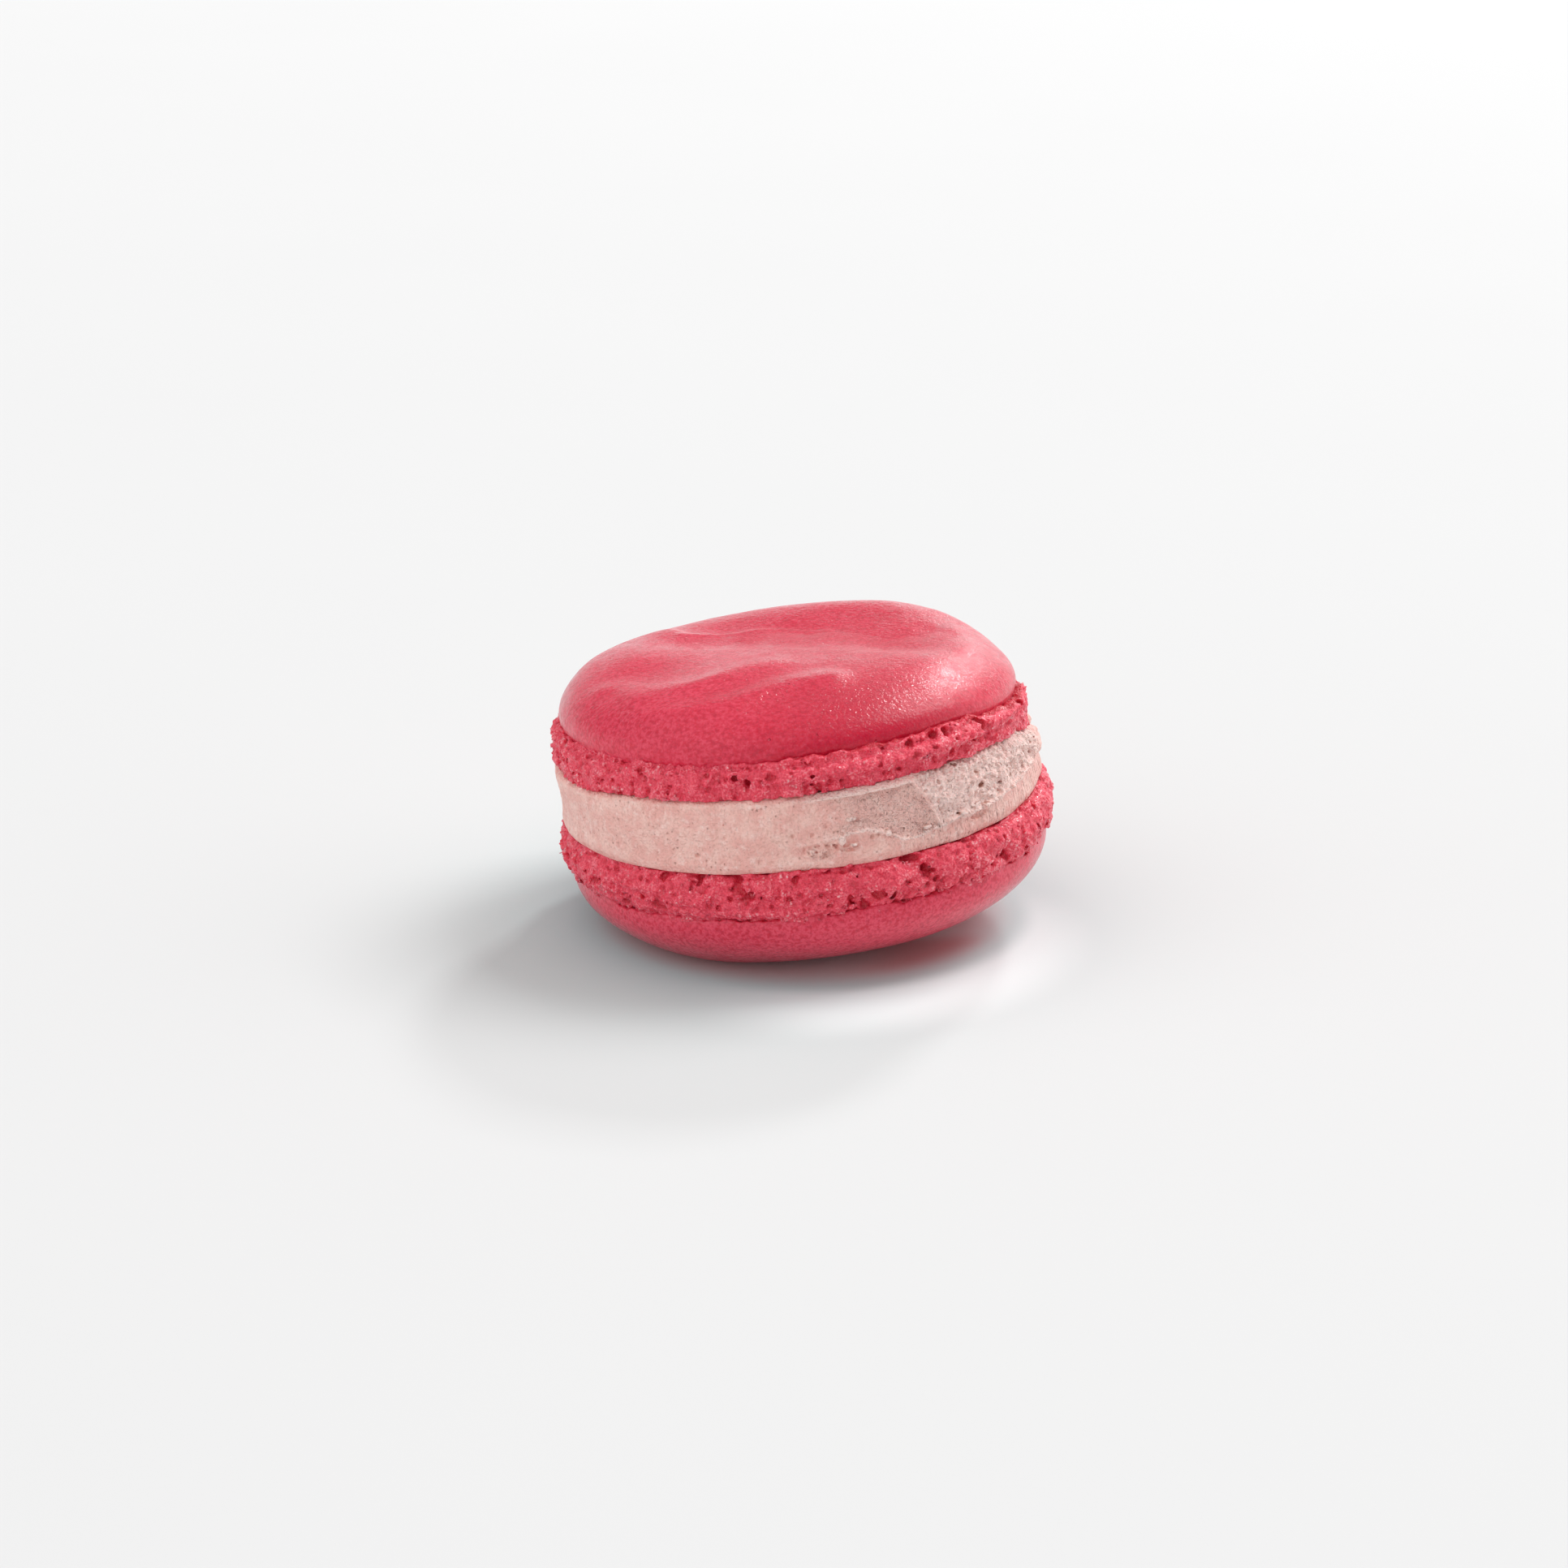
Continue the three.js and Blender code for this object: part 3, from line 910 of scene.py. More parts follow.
def torn_parts(x, y, z, angle):
    """How far a point lies in each part of the torn side, 0 to 1, with ragged edges.

    The parts are the cut panel, the broken face, the lip along both and the strip over the panel.
    """
    degrees = np.degrees(angle)
    stray = 0.35 * rough(x, y, z, 1.5, 61) + 0.12 * rough(x, y, z, 0.4, 62, 2)
    turn = degrees + 2.6 * stray
    ledge = np.interp(degrees, *zip(*LEDGE))
    level = z + stray - ledge
    above = smoothstep(-0.05, 0.12, level)
    strip = smoothstep(-PANEL["high"] - 0.05, -PANEL["high"] + 0.05, top_edge(angle) - z - 0.2 * stray)
    panel = smoothstep(PANEL["from"], PANEL["full"], turn + 6 * rough(x, y, z, 1.2, 64))
    step = degrees + 0.4 * stray + BEVEL["tilt"] * (z - 2.8) - BEVEL["from"]
    panel = panel * smoothstep(0.15, -0.15, step)
    strip_end = smoothstep(-92, -80, turn) * smoothstep(0.3, -0.1, step)
    panel, strip = panel * above * strip, (1 - strip) * strip_end
    broken = smoothstep(0.0, 1.4, step) * smoothstep(BREAK["to"], BREAK["to"] - 10, turn)
    broken = broken * smoothstep(-0.3, 0.3, level)
    lip = ridge(level + 0.12, 0.2) * smoothstep(-88, -80, turn) * smoothstep(-8, -16, turn)
    edge = ridge(step * 0.38 - 0.05, BEVEL["width"]) * above
    return panel, broken, lip + 0.6 * edge, strip


def cream_surface(x, y, z, angle, t):
    """The radius of the buttercream's side at a point, and how broken and how cut it is there."""
    base = filling_radius(t)
    bx, by = base * np.cos(angle), base * np.sin(angle)
    swell = CREAM["swell"]
    surface = base + CREAM["spread"] * noise(bx / swell, by / swell, z / swell, 41)
    panel, broken, lip, strip = torn_parts(x, y, z, angle)
    whole = 1 - np.maximum(panel, broken)
    top_bead = ridge(z - top_edge(angle) - TOP_BEAD["z"], TOP_BEAD["width"])
    bottom_bead = ridge(z - BOTTOM_BEAD["z"], BOTTOM_BEAD["width"])
    uneven = 1 + 0.8 * noise(bx / 3, by / 3, np.zeros_like(bx), 63)
    surface += TOP_BEAD["height"] * top_bead * uneven * (1 - broken) + BOTTOM_BEAD["height"] * bottom_bead
    surface += 0.05 * rough(x, y, z, 1.6, 47) * whole
    surface += 0.05 * rough(x, y, z, 0.45, 48, 2) * (1 - broken)
    ragged_lip = RISES["lip"] + RISES["ragged_lip"] * rough(x, y, z, 0.5, 65, 2, 0.7)
    surface += lip * ragged_lip + RISES["strip"] * strip
    surface -= panel * (PANEL["depth"] + PANEL["rough"] * rough(x, y, z, 0.6, 43, 3, 0.7))
    tilt = math.radians(BREAK["tilt"])
    along = math.cos(tilt) * GIRTH * angle + math.sin(tilt) * z
    across = math.cos(tilt) * z - math.sin(tilt) * GIRTH * angle
    crags = BREAK["depth"] + BREAK["ridges"] * rough_plan(0.55 * along, across, 0.7, 44, 3, 0.7)
    surface -= broken * (crags + BREAK["lumps"] * lumps(x, y, z, 0.55, 46, 3, 0.8))
    chips = 0
    for degrees, level, width, height in FLAKES:
        chips = chips + patch(angle, z, degrees, level, width, height)
        under = patch(angle, z, degrees + 0.9, level - 1.1 * height, width, 0.7 * height)
        surface += RISES["under_flake"] * under
    for cavity in CAVITIES:
        surface += RISES["cavity"] * patch(angle, z, *cavity)
    surface += RISES["flake"] * smoothstep(0, 0.4, chips)
    right = np.cos(angle)
    surface += RISES["right"] * smoothstep(0.78, 0.97, right) * smoothstep(1.6, 0.4, z)
    film = smoothstep(0.92, 0.99, right)
    surface += RISES["film"] * rough(x, y, z, 1.1, 67) * film * smoothstep(0, 1.2, z)
    surface += RISES["smear"] * patch(angle, z, *SMEAR)
    crumbs = patch(angle, z, *RUBBLE)
    surface += crumbs * RISES["rubble"] * rough(x, y, z, 0.5, 49, 3, 0.7)
    return surface, np.maximum(broken, crumbs), panel


def filling_net(spacing):
    """The net of the filling: a disc with a plain core and the shaped, holed side round it."""
    bottom, top = FILLING["bottom"], FILLING["top"]
    reach = FILLING["belly"] + CREAM_BLOCK["out"]
    inner = FILLING["rim"] - CREAM_BLOCK["core"]
    middle, half = CREAM_BLOCK["band"]
    across = np.arange(-reach, reach, spacing, dtype=np.float32)
    levels = np.arange(bottom - CREAM_BLOCK["below"], top + CREAM_BLOCK["above"], spacing, dtype=np.float32)
    x, y, z = np.meshgrid(across, across, levels, indexing="ij")
    edge = top_edge(np.arctan2(y, x))
    t = np.clip((z - bottom) / (top + edge - bottom), 0, 1)
    slide = t**3
    x, y = x - slide * TOP["shift"][0], y - slide * TOP["shift"][1]
    radius = np.hypot(x, y)
    field = np.maximum(inner - radius, radius - FILLING["belly"])
    roof = top + CREAM_BLOCK["roof"] + edge
    near = abs(radius - FILLING["belly"] + middle) < half
    x, y, z, t, radius = x[near], y[near], z[near], t[near], radius[near]
    angle = np.arctan2(y, x)
    surface, crumbly, panel = cream_surface(x, y, z, angle, t)
    cream = radius - surface
    pits = bubbles(x, y, z, *CREAM_PITS, 50)
    specks = bubbles(x, y, z, *CREAM_SPECKS, 70) + 0.1 * (1 - np.maximum(panel, crumbly))
    froth = bubbles(x, y, z, *CREAM_FROTH, 55) + 0.3 * (1 - crumbly)
    cream = np.maximum(cream, -np.minimum(np.minimum(pits, specks), froth))
    cream = carve(cream, x, y, z, angle, surface, CREAM_HOLES)
    field[near] = np.maximum(cream, inner - radius)
    roof[near] += 0.08 * rough_plan(x, y, 1.5, 66)
    field = np.maximum(field, np.maximum(bottom - levels, levels - roof))
    points, faces = smooth_net(field, np.array([-reach, -reach, levels[0]]), spacing, 1)
    t = np.clip((points[:, 2] - bottom) / (top - bottom), 0, 1)
    points[:, 2] += t * settle(points[:, 0])
    return points, faces


# ---- Where a finished point lies, for the materials ----


def foot_depth(shell, x, y, z):
    """How far a point of a foot lies under its lumps' surface."""
    x, y = x - shell["shift"][0], y - shell["shift"][1]
    z = z - settle(x) if shell["side"] > 0 else z
    return foot_surface(shell, np.arctan2(y, x), shell["side"] * z) - np.hypot(x, y)


def unslide(x, y, z):
    """Takes a point of the finished filling back to where it was before the filling slid and settled."""
    t = np.clip((z - FILLING["bottom"]) / (FILLING["top"] - FILLING["bottom"]), 0, 1)
    z = z - t * settle(x)
    reach = FILLING["top"] + top_edge(np.arctan2(y, x)) - FILLING["bottom"]
    t = np.clip((z - FILLING["bottom"]) / reach, 0, 1)
    return x - t**3 * TOP["shift"][0], y - t**3 * TOP["shift"][1], z, t


def filling_depth(x, y, z):
    """How far a point of the filling lies under its side's surface."""
    x, y, z, t = unslide(x, y, z)
    return cream_surface(x, y, z, np.arctan2(y, x), t)[0] - np.hypot(x, y)


def cut_at(x, y, z):
    """How far a point of the filling lies in its cut panel."""
    x, y, z, _ = unslide(x, y, z)
    return torn_parts(x, y, z, np.arctan2(y, x))[0]


def pale_and_lit_at(x, y, z):
    """The share of paler colour at a point of the filling: the broken cream's own, and painted light on its
    edges.
    """
    x, y, z, _ = unslide(x, y, z)
    angle = np.arctan2(y, x)
    _, broken, lip, strip = torn_parts(x, y, z, angle)
    chips = sum(patch(angle, z, *flake) for flake in FLAKES)
    return np.maximum.reduce([broken, np.clip(lip, 0, 1), strip, np.clip(2 * chips, 0, 1)])


# ---- Materials ----


class Nodes:
    """Builds a node tree: each call adds nodes and links or sets their inputs."""

    def __init__(self, tree):
        self.tree = tree
        tree.nodes.clear()

    def add(self, kind, inputs=None, **settings):
        node = self.tree.nodes.new(kind)
        for name, value in settings.items():
            setattr(node, name, value)
        for key, value in (inputs or {}).items():
            if isinstance(value, bpy.types.NodeSocket):
                self.tree.links.new(value, node.inputs[key])
            else:
                node.inputs[key].default_value = value
        return node

    def math(self, operation, a, b=0.0, clamp=False):
        node = self.add("ShaderNodeMath", {0: a, 1: b}, operation=operation, use_clamp=clamp)
        return node.outputs[0]

    def times(self, first, *others, clamp=False):
        """The product of two or more numbers."""
        for other in others:
            first = self.math("MULTIPLY", first, other, clamp)
        return first

    def vector(self, operation, a, b):
        """Two vectors' sum or product, or the one number that a distance or a dot product gives."""
        node = self.add("ShaderNodeVectorMath", {0: a, 1: b}, operation=operation)
        return node.outputs["Value" if operation in ("DISTANCE", "DOT_PRODUCT") else "Vector"]

    def apart(self, place):
        """The three coordinates of a place, by letter."""
        return self.add("ShaderNodeSeparateXYZ", {0: place}).outputs

    def ramp(self, value, low, high, to_low=0.0, to_high=1.0):
        """Value moved smoothly from low..high to to_low..to_high."""
        inputs = {"Value": value, 1: low, 2: high, 3: to_low, 4: to_high}
        node = self.add("ShaderNodeMapRange", inputs, interpolation_type="SMOOTHSTEP")
        return node.outputs[0]

    def blend(self, share, a, b):
        """Colour a where share is 0 and b where it is 1."""
        a, b = (each if isinstance(each, bpy.types.NodeSocket) else (*each, 1.0) for each in (a, b))
        return self.add("ShaderNodeMix", {0: share, 6: a, 7: b}, data_type="RGBA").outputs[2]

    def noise(self, place, size, detail=2.0, output="Fac"):
        """Noise with features about size millimetres across."""
        inputs = {"Vector": place, "Scale": 1 / size, "Detail": detail}
        return self.add("ShaderNodeTexNoise", inputs).outputs[output]

    def spots(self, place, cell, core, edge, share):
        """Scattered round spots: 1 inside core millimetres and 0 outside edge, in a share of the cells."""
        node = self.add("ShaderNodeTexVoronoi", {"Vector": place, "Scale": 1 / cell})
        pick = self.add("ShaderNodeSeparateColor", {0: node.outputs["Color"]}).outputs[0]
        spot = self.ramp(node.outputs["Distance"], core / cell, edge / cell, 1.0, 0.0)
        return self.times(spot, self.ramp(pick, share, 0.9 * share))

    def froth(self, place, size):
        """Shallow bubbles packed side by side: 1 in the middle of each and 0 on the walls between."""
        swirl = self.noise(place, size / 1.2, output="Color")
        moved = self.vector("ADD", place, self.vector("MULTIPLY", swirl, (0.9 * size,) * 3))
        inputs = {"Vector": moved, "Scale": 1 / size}
        node = self.add("ShaderNodeTexVoronoi", inputs, feature="DISTANCE_TO_EDGE")
        return self.ramp(node.outputs["Distance"], 0.0, 0.35)

    def streaks(self, place):
        """Faint upright lines low on the filling's side, from its front right on round its back."""
        apart = self.apart(place)
        around = self.math("ARCTAN2", apart["Y"], apart["X"])
        inputs = {"X": self.times(around, GIRTH), "Y": self.times(apart["Z"], 0.15)}
        lines = self.noise(self.add("ShaderNodeCombineXYZ", inputs).outputs[0], 0.35)
        low = self.ramp(apart["Z"], -0.9, -1.7, 0.0, 1.7)
        return self.times(self.math("SUBTRACT", lines, 0.5), low, self.ramp(around, -1.35, -1.0))

    def place(self):
        """Where a point is on the upright macaron, in millimetres."""
        coordinates = self.add("ShaderNodeTexCoord").outputs["Object"]
        inputs = {
            "Vector": coordinates,
            "Location": CENTRE * MM,
            "Rotation": (0, -LEAN, 0),
            "Scale": (MM, MM, MM),
        }
        return self.add("ShaderNodeMapping", inputs, vector_type="TEXTURE").outputs[0]

    def value(self, name):
        """A number stored at the mesh's points."""
        return self.add("ShaderNodeAttribute", attribute_name=name).outputs["Fac"]

    def bump(self, height, distance, normal=None):
        """Relief from a height of 0 to 1, worth distance millimetres."""
        inputs = {"Height": height, "Distance": distance * MM}
        if normal is not None:
            inputs["Normal"] = normal
        return self.add("ShaderNodeBump", inputs).outputs[0]

    def finish(self, inputs):
        """Ends a material's tree in its one shader."""
        shader = self.add("ShaderNodeBsdfPrincipled", inputs)
        self.add("ShaderNodeOutputMaterial", {"Surface": shader.outputs[0]})


def new_material(name):
    material = bpy.data.materials.new(name)
    material.use_nodes = True
    return material, Nodes(material.node_tree)


def skin_material(name, look, tone):
    """Satin meringue skin: clouded colour, a sandy grain, pinholes, and painted sheen and shade in a
    shell's tone.
    """
    material, nodes = new_material(name)
    place = nodes.place()
    apart = nodes.apart(place)
    # Paler towards the left: painted sheen, on the lower shell nearly all over.
    pale = nodes.ramp(apart["X"], -20.0, 8.0, tone["left"], tone["right"])
    clouds = nodes.ramp(nodes.noise(place, 7.0, 3.0), 0.3, 0.7, -0.15, 0.15)
    base = nodes.blend(nodes.math("ADD", pale, clouds, clamp=True), look.skin, look.blush_and_sheen)
    # Painted shade: a deeper colour low on the upper cap's front, where little light falls.
    front = nodes.ramp(apart["Y"], -9.0, -18.0)
    low = nodes.times(front, nodes.ramp(apart["X"], -8.0, 8.0, 0.0, tone["deep_and_shade"]))
    grain = nodes.noise(place, 0.24, 3.0)
    mottle = nodes.noise(place, 0.42, 5.0)
    base = nodes.blend(nodes.ramp(mottle, 0.45, 0.68, 0.0, 0.6), base, look.blush_and_sheen)
    # Random deeper mottles, plus the painted shade at the front.
    mottle_and_shade = nodes.math("ADD", low, nodes.ramp(mottle, 0.32, 0.54, 0.75, 0.0), clamp=True)
    base = nodes.blend(mottle_and_shade, base, look.deep_and_shade)
    base = nodes.blend(nodes.ramp(grain, 0.3, 0.6, 0.7, 0.0), base, look.pits)
    base = nodes.blend(nodes.ramp(nodes.noise(place, 0.17), 0.5, 0.75, 0.0, 0.09), base, look.sugar)
    # Pinholes: a small dimple each, and their darker colour is painted shade.
    holes = nodes.spots(place, 2.2, 0.05, 0.13, 0.45)
    base = nodes.blend(nodes.times(holes, 0.8), base, look.pits)
    dimples = nodes.bump(nodes.math("SUBTRACT", 1.0, holes), 0.15, nodes.bump(grain, 0.03))
    dullness = nodes.noise(place, 1.5, 3.0)
    nodes.finish(
        {
            "Base Color": base,
            "Roughness": nodes.ramp(dullness, 0.3, 0.7, look.roughness - 0.07, look.roughness + 0.07),
            "Normal": dimples,
            "Subsurface Weight": 0.12,
            "Subsurface Radius": (1.0, 0.3, 0.25),
            "Subsurface Scale": 0.0006,
            "Specular IOR Level": 0.22,
            "Coat Weight": nodes.ramp(nodes.noise(place, 2.5, 3.0), 0.3, 0.7, 0.6, 0.85),
            "Coat Roughness": 0.13,
            "Coat IOR": 1.3,
            "Coat Normal": nodes.bump(nodes.noise(place, 0.34), 0.14, dimples),
        }
    )
    return material


def crumb_material(name, look):
    """The foot's open crumb: sugar grains with painted light, red hollows with painted shade, and wet
    glints.
    """
    material, nodes = new_material(name)
    place = nodes.place()
    depth = nodes.value("depth")
    # Painted shade: darker red the further a point lies in the foot's hollows.
    base = nodes.blend(nodes.ramp(depth, -0.05, 0.3), look.crumb, look.pits)
    grain = nodes.noise(place, 0.2, 3.0)
    base = nodes.blend(nodes.ramp(grain, 0.35, 0.6, 0.5, 0.0), base, look.pits)
    # Paler grains where the crumb stands out, more at the right: partly sugar and partly painted light.
    raised = nodes.ramp(depth, -0.28, 0.0, 1.0, 0.08)
    right = nodes.ramp(nodes.apart(place)["X"], 0.0, 18.0, 0.9, 1.5)
    sugar_and_lit_grains = nodes.times(nodes.ramp(grain, 0.46, 0.66), raised, right, clamp=True)
    base = nodes.blend(sugar_and_lit_grains, base, look.sugar)
    swarms = nodes.ramp(nodes.noise(place, 1.6, 3.0), 0.4, 0.6)
    # Bare sugar, glossy, its near-white colour partly a painted glint.
    crystals_and_glints = nodes.times(nodes.spots(place, 0.3, 0.06, 0.14, 0.45), swarms)
    base = nodes.blend(nodes.times(crystals_and_glints, raised, 0.8), base, look.crystal_and_glint)
    nodes.finish(
        {
            "Base Color": base,
            "Roughness": nodes.ramp(crystals_and_glints, 0.0, 1.0, 0.45, 0.15),
            "Normal": nodes.bump(nodes.noise(place, 0.18), 0.2),
            "Coat Weight": nodes.ramp(crystals_and_glints, 0.0, 1.0, 0.15, 1.0),
            "Coat Roughness": 0.14,
            "Subsurface Weight": 0.4,
            "Subsurface Radius": (1.0, 0.2, 0.2),
            "Subsurface Scale": 0.0006,
        }
    )
    return material


def cream_material(name, look):
    """Matte buttercream: faint pink clouds, a fine whipped grain, painted shade in its air holes and
    hollows.
    """
    material, nodes = new_material(name)
    place = nodes.place()
    depth, torn, panel = nodes.value("depth"), nodes.value("torn"), nodes.value("panel")
    clouds = nodes.ramp(nodes.noise(place, 1.6, 5.0), 0.35, 0.65)
    base = nodes.blend(clouds, look.cream, look.pink)
    base = nodes.blend(nodes.ramp(nodes.noise(place, 0.6, 4.0), 0.5, 0.75, 0.0, 0.7), base, look.torn)
    base = nodes.blend(nodes.times(panel, 0.4), base, look.panel)
    # Paler where torn: the broken cream's own, and painted light on the lip, the bevel edge, the strip over
    # the panel and the flakes.
    base = nodes.blend(nodes.times(torn, 0.95), base, look.torn)
    # Painted shade in the middle of each froth hollow on the cut face.
    froth_and_shade = nodes.times(nodes.froth(place, 0.38), nodes.ramp(panel, 0.0, 1.0, 0.12, 0.4))
    base = nodes.blend(froth_and_shade, base, look.panel)
    fine = nodes.noise(place, 0.22, 3.0)
    base = nodes.blend(nodes.ramp(fine, 0.3, 0.55, 0.34, 0.0), base, look.holes)
    # Painted shade: darker the further a point lies in the side's hollows.
    base = nodes.blend(nodes.ramp(depth, 0.06, 0.4), base, look.holes)
    swarms = nodes.ramp(nodes.noise(place, 3.0), 0.45, 0.6, 0.3, 1.0)
    # Small air holes with a slight dip, their darker colour painted shade.
    small, large = nodes.spots(place, 0.4, 0.03, 0.12, 0.4), nodes.spots(place, 1.1, 0.07, 0.2, 0.3)
    pits = nodes.times(nodes.math("MAXIMUM", small, large), swarms)
    base = nodes.blend(nodes.times(pits, 0.6), base, look.holes)
    roughed = nodes.math("MAXIMUM", torn, nodes.times(panel, 0.7))
    height = nodes.math("SUBTRACT", fine, 0.5)
    height = nodes.times(height, nodes.ramp(roughed, 0.0, 1.0, 0.55, 1.0))
    crags = nodes.math("SUBTRACT", nodes.noise(place, 0.5), 0.5)
    crags = nodes.times(crags, nodes.ramp(roughed, 0.0, 1.0, 0.4, 1.0))
    crags = nodes.math("SUBTRACT", crags, nodes.times(froth_and_shade, 0.6))
    swells = nodes.bump(nodes.math("ADD", crags, nodes.streaks(place)), 0.4)
    nodes.finish(
        {
            "Base Color": base,
            "Roughness": look.roughness,
            "Normal": nodes.bump(nodes.math("SUBTRACT", height, nodes.times(pits, 0.4)), 0.25, swells),
            "Subsurface Weight": 0.15,
            "Subsurface Radius": (1.0, 0.5, 0.4),
            "Subsurface Scale": 0.0008,
        }
    )
    return material


def table_material(name, tint):
    """Pale paper, with painted light and shade round the macaron.

    A cyan tone paints out the shells' red light on it, fading outwards from the macaron. The paper has
    painted light beyond its front right side, and painted shade, darker and redder, right under the shell
    there.
    """
    material, nodes = new_material(name)
    spot = nodes.add("ShaderNodeTexCoord").outputs["Object"]

    def away_from(x, y):
        return nodes.times(nodes.vector("DISTANCE", spot, (x * MM, y * MM, 0)), 1 / MM)

    # The colour of the painted light on the paper.
    painted_light_paper = (0.93, 0.93, 0.93)
    radius, apart = away_from(0, 0), nodes.apart(nodes.place())
    # Painted out: a cyan tone close round the macaron, weaker at its right, cancels the red light from the
    # shells.
    fall = nodes.math("EXPONENT", nodes.times(nodes.math("SUBTRACT", 19.0, radius), 0.118))
    right = nodes.ramp(apart["X"], -2.0, 14.0, 0.31, 0.22)
    # Painted light: a ring of brighter paper beyond the macaron's front right side.
    painted_light_side = nodes.times(nodes.ramp(apart["X"], -12.0, 2.0), nodes.ramp(apart["Y"], 12.0, -2.0))
    lift = nodes.times(nodes.ramp(radius, 19.3, 22.0), nodes.ramp(away_from(0, -6), 27.5, 19.0))
    tone = nodes.times(fall, right, nodes.ramp(radius, 15.5, 20.5))
    # Painted shade: darker, redder paper right under the shell's front right.
    under = nodes.times(nodes.ramp(radius, 19.0, 15.5, 0.0, 0.8), nodes.ramp(apart["Y"], -5.0, -9.0))
    under = nodes.times(under, nodes.ramp(apart["X"], 1.0, 9.0))
    clouds = nodes.noise(nodes.place(), 90.0)
    shade = nodes.blend(clouds, tint, [0.985 * part for part in tint])
    shade = nodes.blend(nodes.times(lift, painted_light_side), shade, painted_light_paper)
    shade = nodes.blend(tone, shade, (0.0, tint[1], tint[2]))
    shade = nodes.blend(under, shade, (0.85 * tint[0], 0.46 * tint[1], 0.48 * tint[2]))
    nodes.finish({"Base Color": shade, "Roughness": 0.85, "Specular IOR Level": 0.0})
    return material


# ---- Operators ----


def make_foot(context, shell):
    """Makes a shell's foot of crumb. The upper foot settles with the cream under it."""
    sizes, look, name = context.scene.macaron_mesh, context.scene.macaron_shell, shell["name"]
    points, faces = foot_net(shell, sizes.grain)
    points = place_shell(points, shell, settled=shell["side"] > 0)
    foot = make_piece(name + "_foot", points, faces, crumb_material("crumb_" + name, look))
    thin_out(foot, sizes.limit)
    mark(foot, "depth", lambda x, y, z: foot_depth(shell, x, y, z))
    hand_over(foot, name + "_shell")


def make_cap(context, shell, relief):
    """Makes a shell's cap. cap_mesh settles the upper one."""
    sizes, look, name = context.scene.macaron_mesh, context.scene.macaron_shell, shell["name"]
    points, faces = cap_mesh(shell, sizes.rings, relief)
    points = rest_on_table(place_shell(points, shell, settled=False))
    cap = make_piece(name + "_cap", points, faces, skin_material("skin_" + name, look, shell["tone"]))
    hand_over(cap, name + "_shell")


class MACARON_OT_top_shell(bpy.types.Operator):
    """Makes the upper shell: its foot of crumb and its satin cap with a dented crown"""

    bl_idname = "macaron.top_shell"
    bl_label = "Upper shell"

    def execute(self, context):
        make_foot(context, TOP)
        make_cap(context, TOP, top_relief)
        return {"FINISHED"}


class MACARON_OT_bottom_shell(bpy.types.Operator):
    """Makes the lower shell: a more open foot, and a dome paler with painted sheen, with a flat spot under
    it
    """

    bl_idname = "macaron.bottom_shell"
    bl_label = "Lower shell"

    def execute(self, context):
        make_foot(context, BOTTOM)
        make_cap(context, BOTTOM, bottom_relief)
        return {"FINISHED"}


class MACARON_OT_filling(bpy.types.Operator):
    """Makes the disc of buttercream, smooth at its left and torn at its right"""

    bl_idname = "macaron.filling"
    bl_label = "Filling"

    def execute(self, context):
        sizes, look = context.scene.macaron_mesh, context.scene.macaron_cream
        points, faces = filling_net(sizes.grain)
        cream = make_piece("filling_cream", points, faces, cream_material("buttercream", look))
        thin_out(cream, sizes.limit)
        mark(cream, "depth", filling_depth)
        mark(cream, "panel", cut_at)
        mark(cream, "torn", pale_and_lit_at)
        hand_over(cream, "filling")
        return {"FINISHED"}


# The studio. Its lights stand in a direction by azimuth, in degrees from the macaron's right towards
# its back, and height. In the camera's picture the macaron's centre is at a place in pixels, and from
# 350 mm away a millimetre there is 13.5 pixels wide.
KEY_LIGHT = {"azimuth": 28, "height": 52}
BACK_LIGHT = {"azimuth": 69, "height": 34, "size": 0.5}
LIGHTS_AWAY = 4.0
TABLE = 4.0
PICTURE = {"pixels": 1932, "centre": (986, 933.5), "focal_pixels": 13.5 * 350}

# The room's bright and dim parts: the direction of each, and where it starts and is full, as cosines.
LEFT_CARD = ((-0.68, -0.62, 0.38), 0.3, 1.0)
RIGHT_CARD = ((0.95, 0.08, 0.28), 0.75, 1.0)
SHADE = ((0.35, -0.93, 0.15), 0.2, 1.0)


class MACARON_OT_studio(bpy.types.Operator):
    """Makes the pale table, the white room, the soft light at the right and the camera"""

    bl_idname = "macaron.studio"
    bl_label = "Studio"

    def execute(self, context):
        scene, studio = context.scene, context.scene.macaron_studio
        make_table(scene, studio)
        make_room(scene, studio)
        make_light(scene, "softbox", KEY_LIGHT, studio.softbox, studio.key)
        make_light(scene, "back_light", BACK_LIGHT, BACK_LIGHT["size"], studio.glint)
        make_camera(scene, studio)
        scene.view_settings.view_transform = "Standard"
        return {"FINISHED"}


def make_table(scene, studio):
    mesh = bpy.data.meshes.new("table")
    half = TABLE / 2
    corners = [(-half, -half, 0), (half, -half, 0), (half, half, 0), (-half, half, 0)]
    mesh.from_pydata(corners, [], [(0, 1, 2, 3)])
    mesh.materials.append(table_material("table_paper", studio.floor))
    table = bpy.data.objects.new("table", mesh)
    scene.collection.objects.link(table)


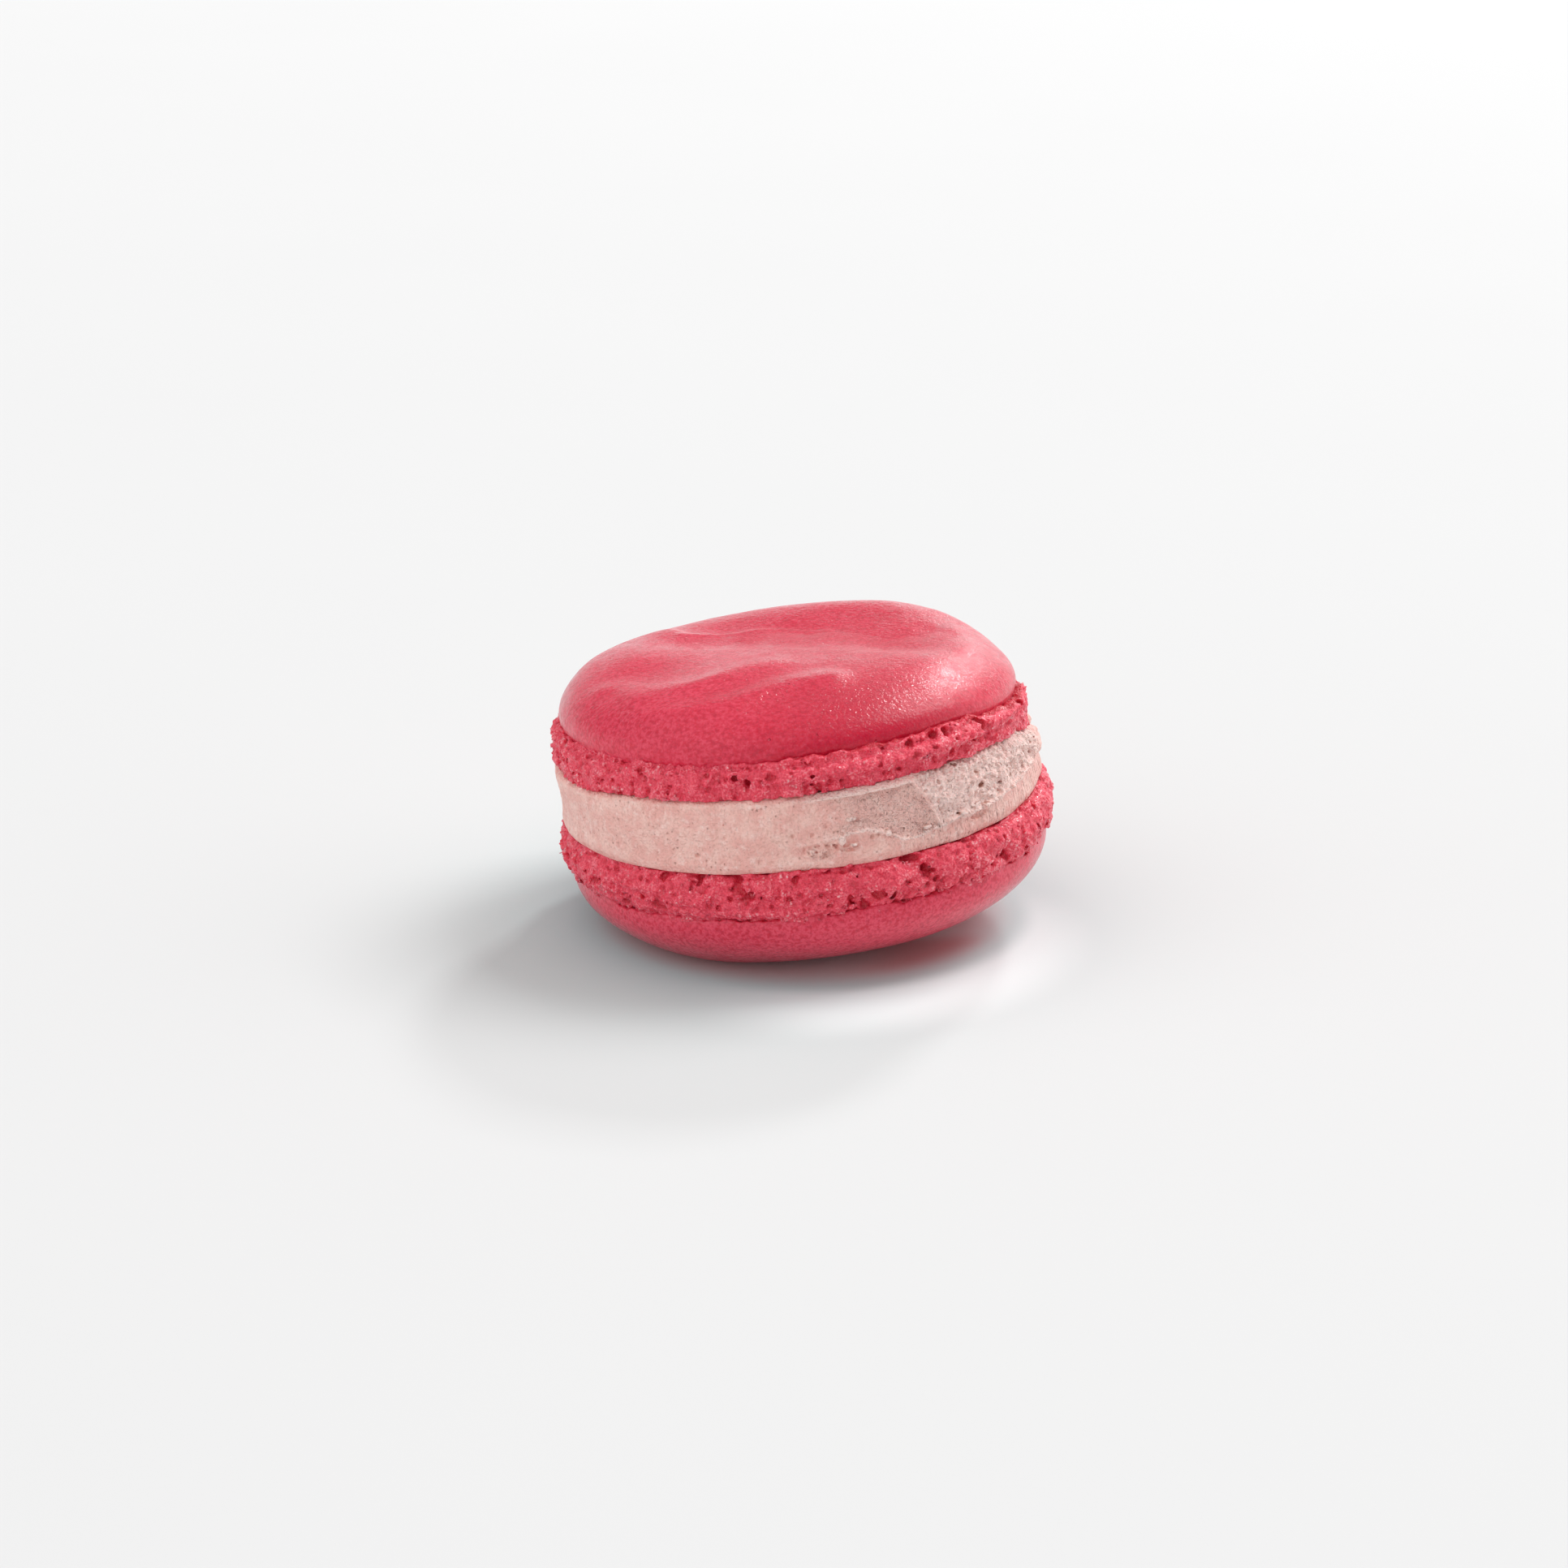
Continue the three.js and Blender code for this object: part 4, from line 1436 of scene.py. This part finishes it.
def make_room(scene, studio):
    """A room with white walls, a light cloth overhead, and white cards at the front left and the right."""
    world = bpy.data.worlds.new("white_room")
    world.use_nodes = True
    nodes = Nodes(world.node_tree)
    direction = nodes.add("ShaderNodeTexCoord").outputs["Generated"]
    apart = nodes.apart(direction)
    behind = nodes.ramp(apart["Y"], 0.3, 0.95, 0.0, studio.behind)
    behind = nodes.times(behind, nodes.ramp(apart["X"], -0.3, 0.15))
    near = nodes.math("ADD", behind, studio.walls)
    walls = nodes.ramp(apart["Z"], 0.05, 0.34, near, studio.gap)
    walls = nodes.math("ADD", walls, nodes.ramp(apart["Z"], 0.4, 1.0, 0.0, studio.ceiling))

    def toward(part, outside, inside):
        way, edge, full = part
        return nodes.ramp(nodes.vector("DOT_PRODUCT", direction, way), edge, full, outside, inside)

    strength = nodes.times(walls, toward(SHADE, 1.0, studio.shade))
    strength = nodes.math("ADD", strength, toward(LEFT_CARD, 0.0, studio.card))
    strength = nodes.math("ADD", strength, toward(RIGHT_CARD, 0.0, studio.side))
    background = nodes.add("ShaderNodeBackground", {"Color": (1, 1, 1, 1), "Strength": strength})
    nodes.add("ShaderNodeOutputWorld", {"Surface": background.outputs[0]})
    scene.world = world


def make_light(scene, name, stand, size, power):
    """A square light that faces the macaron from where it stands."""
    azimuth, height = math.radians(stand["azimuth"]), math.radians(stand["height"])
    light = bpy.data.lights.new(name, "AREA")
    light.shape = "SQUARE"
    light.size = size
    light.energy = power
    lamp = bpy.data.objects.new(name, light)
    direction = Vector(
        (math.cos(height) * math.cos(azimuth), math.cos(height) * math.sin(azimuth), math.sin(height))
    )
    lamp.location = CENTRE * MM + LIGHTS_AWAY * direction
    lamp.rotation_euler = direction.to_track_quat("Z", "Y").to_euler()
    scene.collection.objects.link(lamp)


def make_camera(scene, studio):
    """A long lens level with the table's right and left, aimed a little below and left of the centre."""
    camera = bpy.data.cameras.new("camera")
    camera.sensor_width = 36
    camera.lens = camera.sensor_width * PICTURE["focal_pixels"] / PICTURE["pixels"]
    camera.clip_start = 0.01
    eye = bpy.data.objects.new("camera", camera)
    back = Vector((0, -math.cos(studio.elevation), math.sin(studio.elevation)))
    up = Vector((0, math.sin(studio.elevation), math.cos(studio.elevation)))
    eye.location = CENTRE * MM + studio.distance * back
    per_pixel = studio.distance / PICTURE["focal_pixels"]
    left = (PICTURE["pixels"] / 2 - PICTURE["centre"][0]) * per_pixel
    below = (PICTURE["centre"][1] - PICTURE["pixels"] / 2) * per_pixel
    aim = CENTRE * MM + Vector((left, 0, 0)) + below * up
    eye.rotation_euler = (eye.location - aim).to_track_quat("Z", "Y").to_euler()
    scene.collection.objects.link(eye)
    scene.camera = eye


class MACARON_PT_maker(bpy.types.Panel):
    """Lists what the macaron maker makes"""

    bl_idname = "MACARON_PT_maker"
    bl_label = "Macaron maker"
    bl_space_type = "VIEW_3D"
    bl_region_type = "UI"
    bl_category = "Macaron"

    def draw(self, context):
        scene = context.scene
        for group in (scene.macaron_mesh, scene.macaron_shell, scene.macaron_cream, scene.macaron_studio):
            for name in group.bl_rna.properties.keys():
                if name not in ("rna_type", "name"):
                    self.layout.prop(group, name)
        for maker in MAKERS:
            self.layout.operator(maker.bl_idname)


MAKERS = (MACARON_OT_studio, MACARON_OT_bottom_shell, MACARON_OT_filling, MACARON_OT_top_shell)
SETTINGS = {
    "macaron_mesh": MacaronMesh,
    "macaron_shell": MacaronShellLook,
    "macaron_cream": MacaronCreamLook,
    "macaron_studio": MacaronStudio,
}


def register():
    for each in (*SETTINGS.values(), *MAKERS, MACARON_PT_maker):
        bpy.utils.register_class(each)
    for name, group in SETTINGS.items():
        setattr(bpy.types.Scene, name, PointerProperty(type=group))


def unregister():
    for name in SETTINGS:
        delattr(bpy.types.Scene, name)
    for each in (MACARON_PT_maker, *reversed(MAKERS), *SETTINGS.values()):
        bpy.utils.unregister_class(each)


def main():
    register()
    bpy.ops.macaron.studio()
    bpy.ops.macaron.bottom_shell()
    bpy.ops.macaron.filling()
    bpy.ops.macaron.top_shell()


if __name__ == "__main__":
    main()
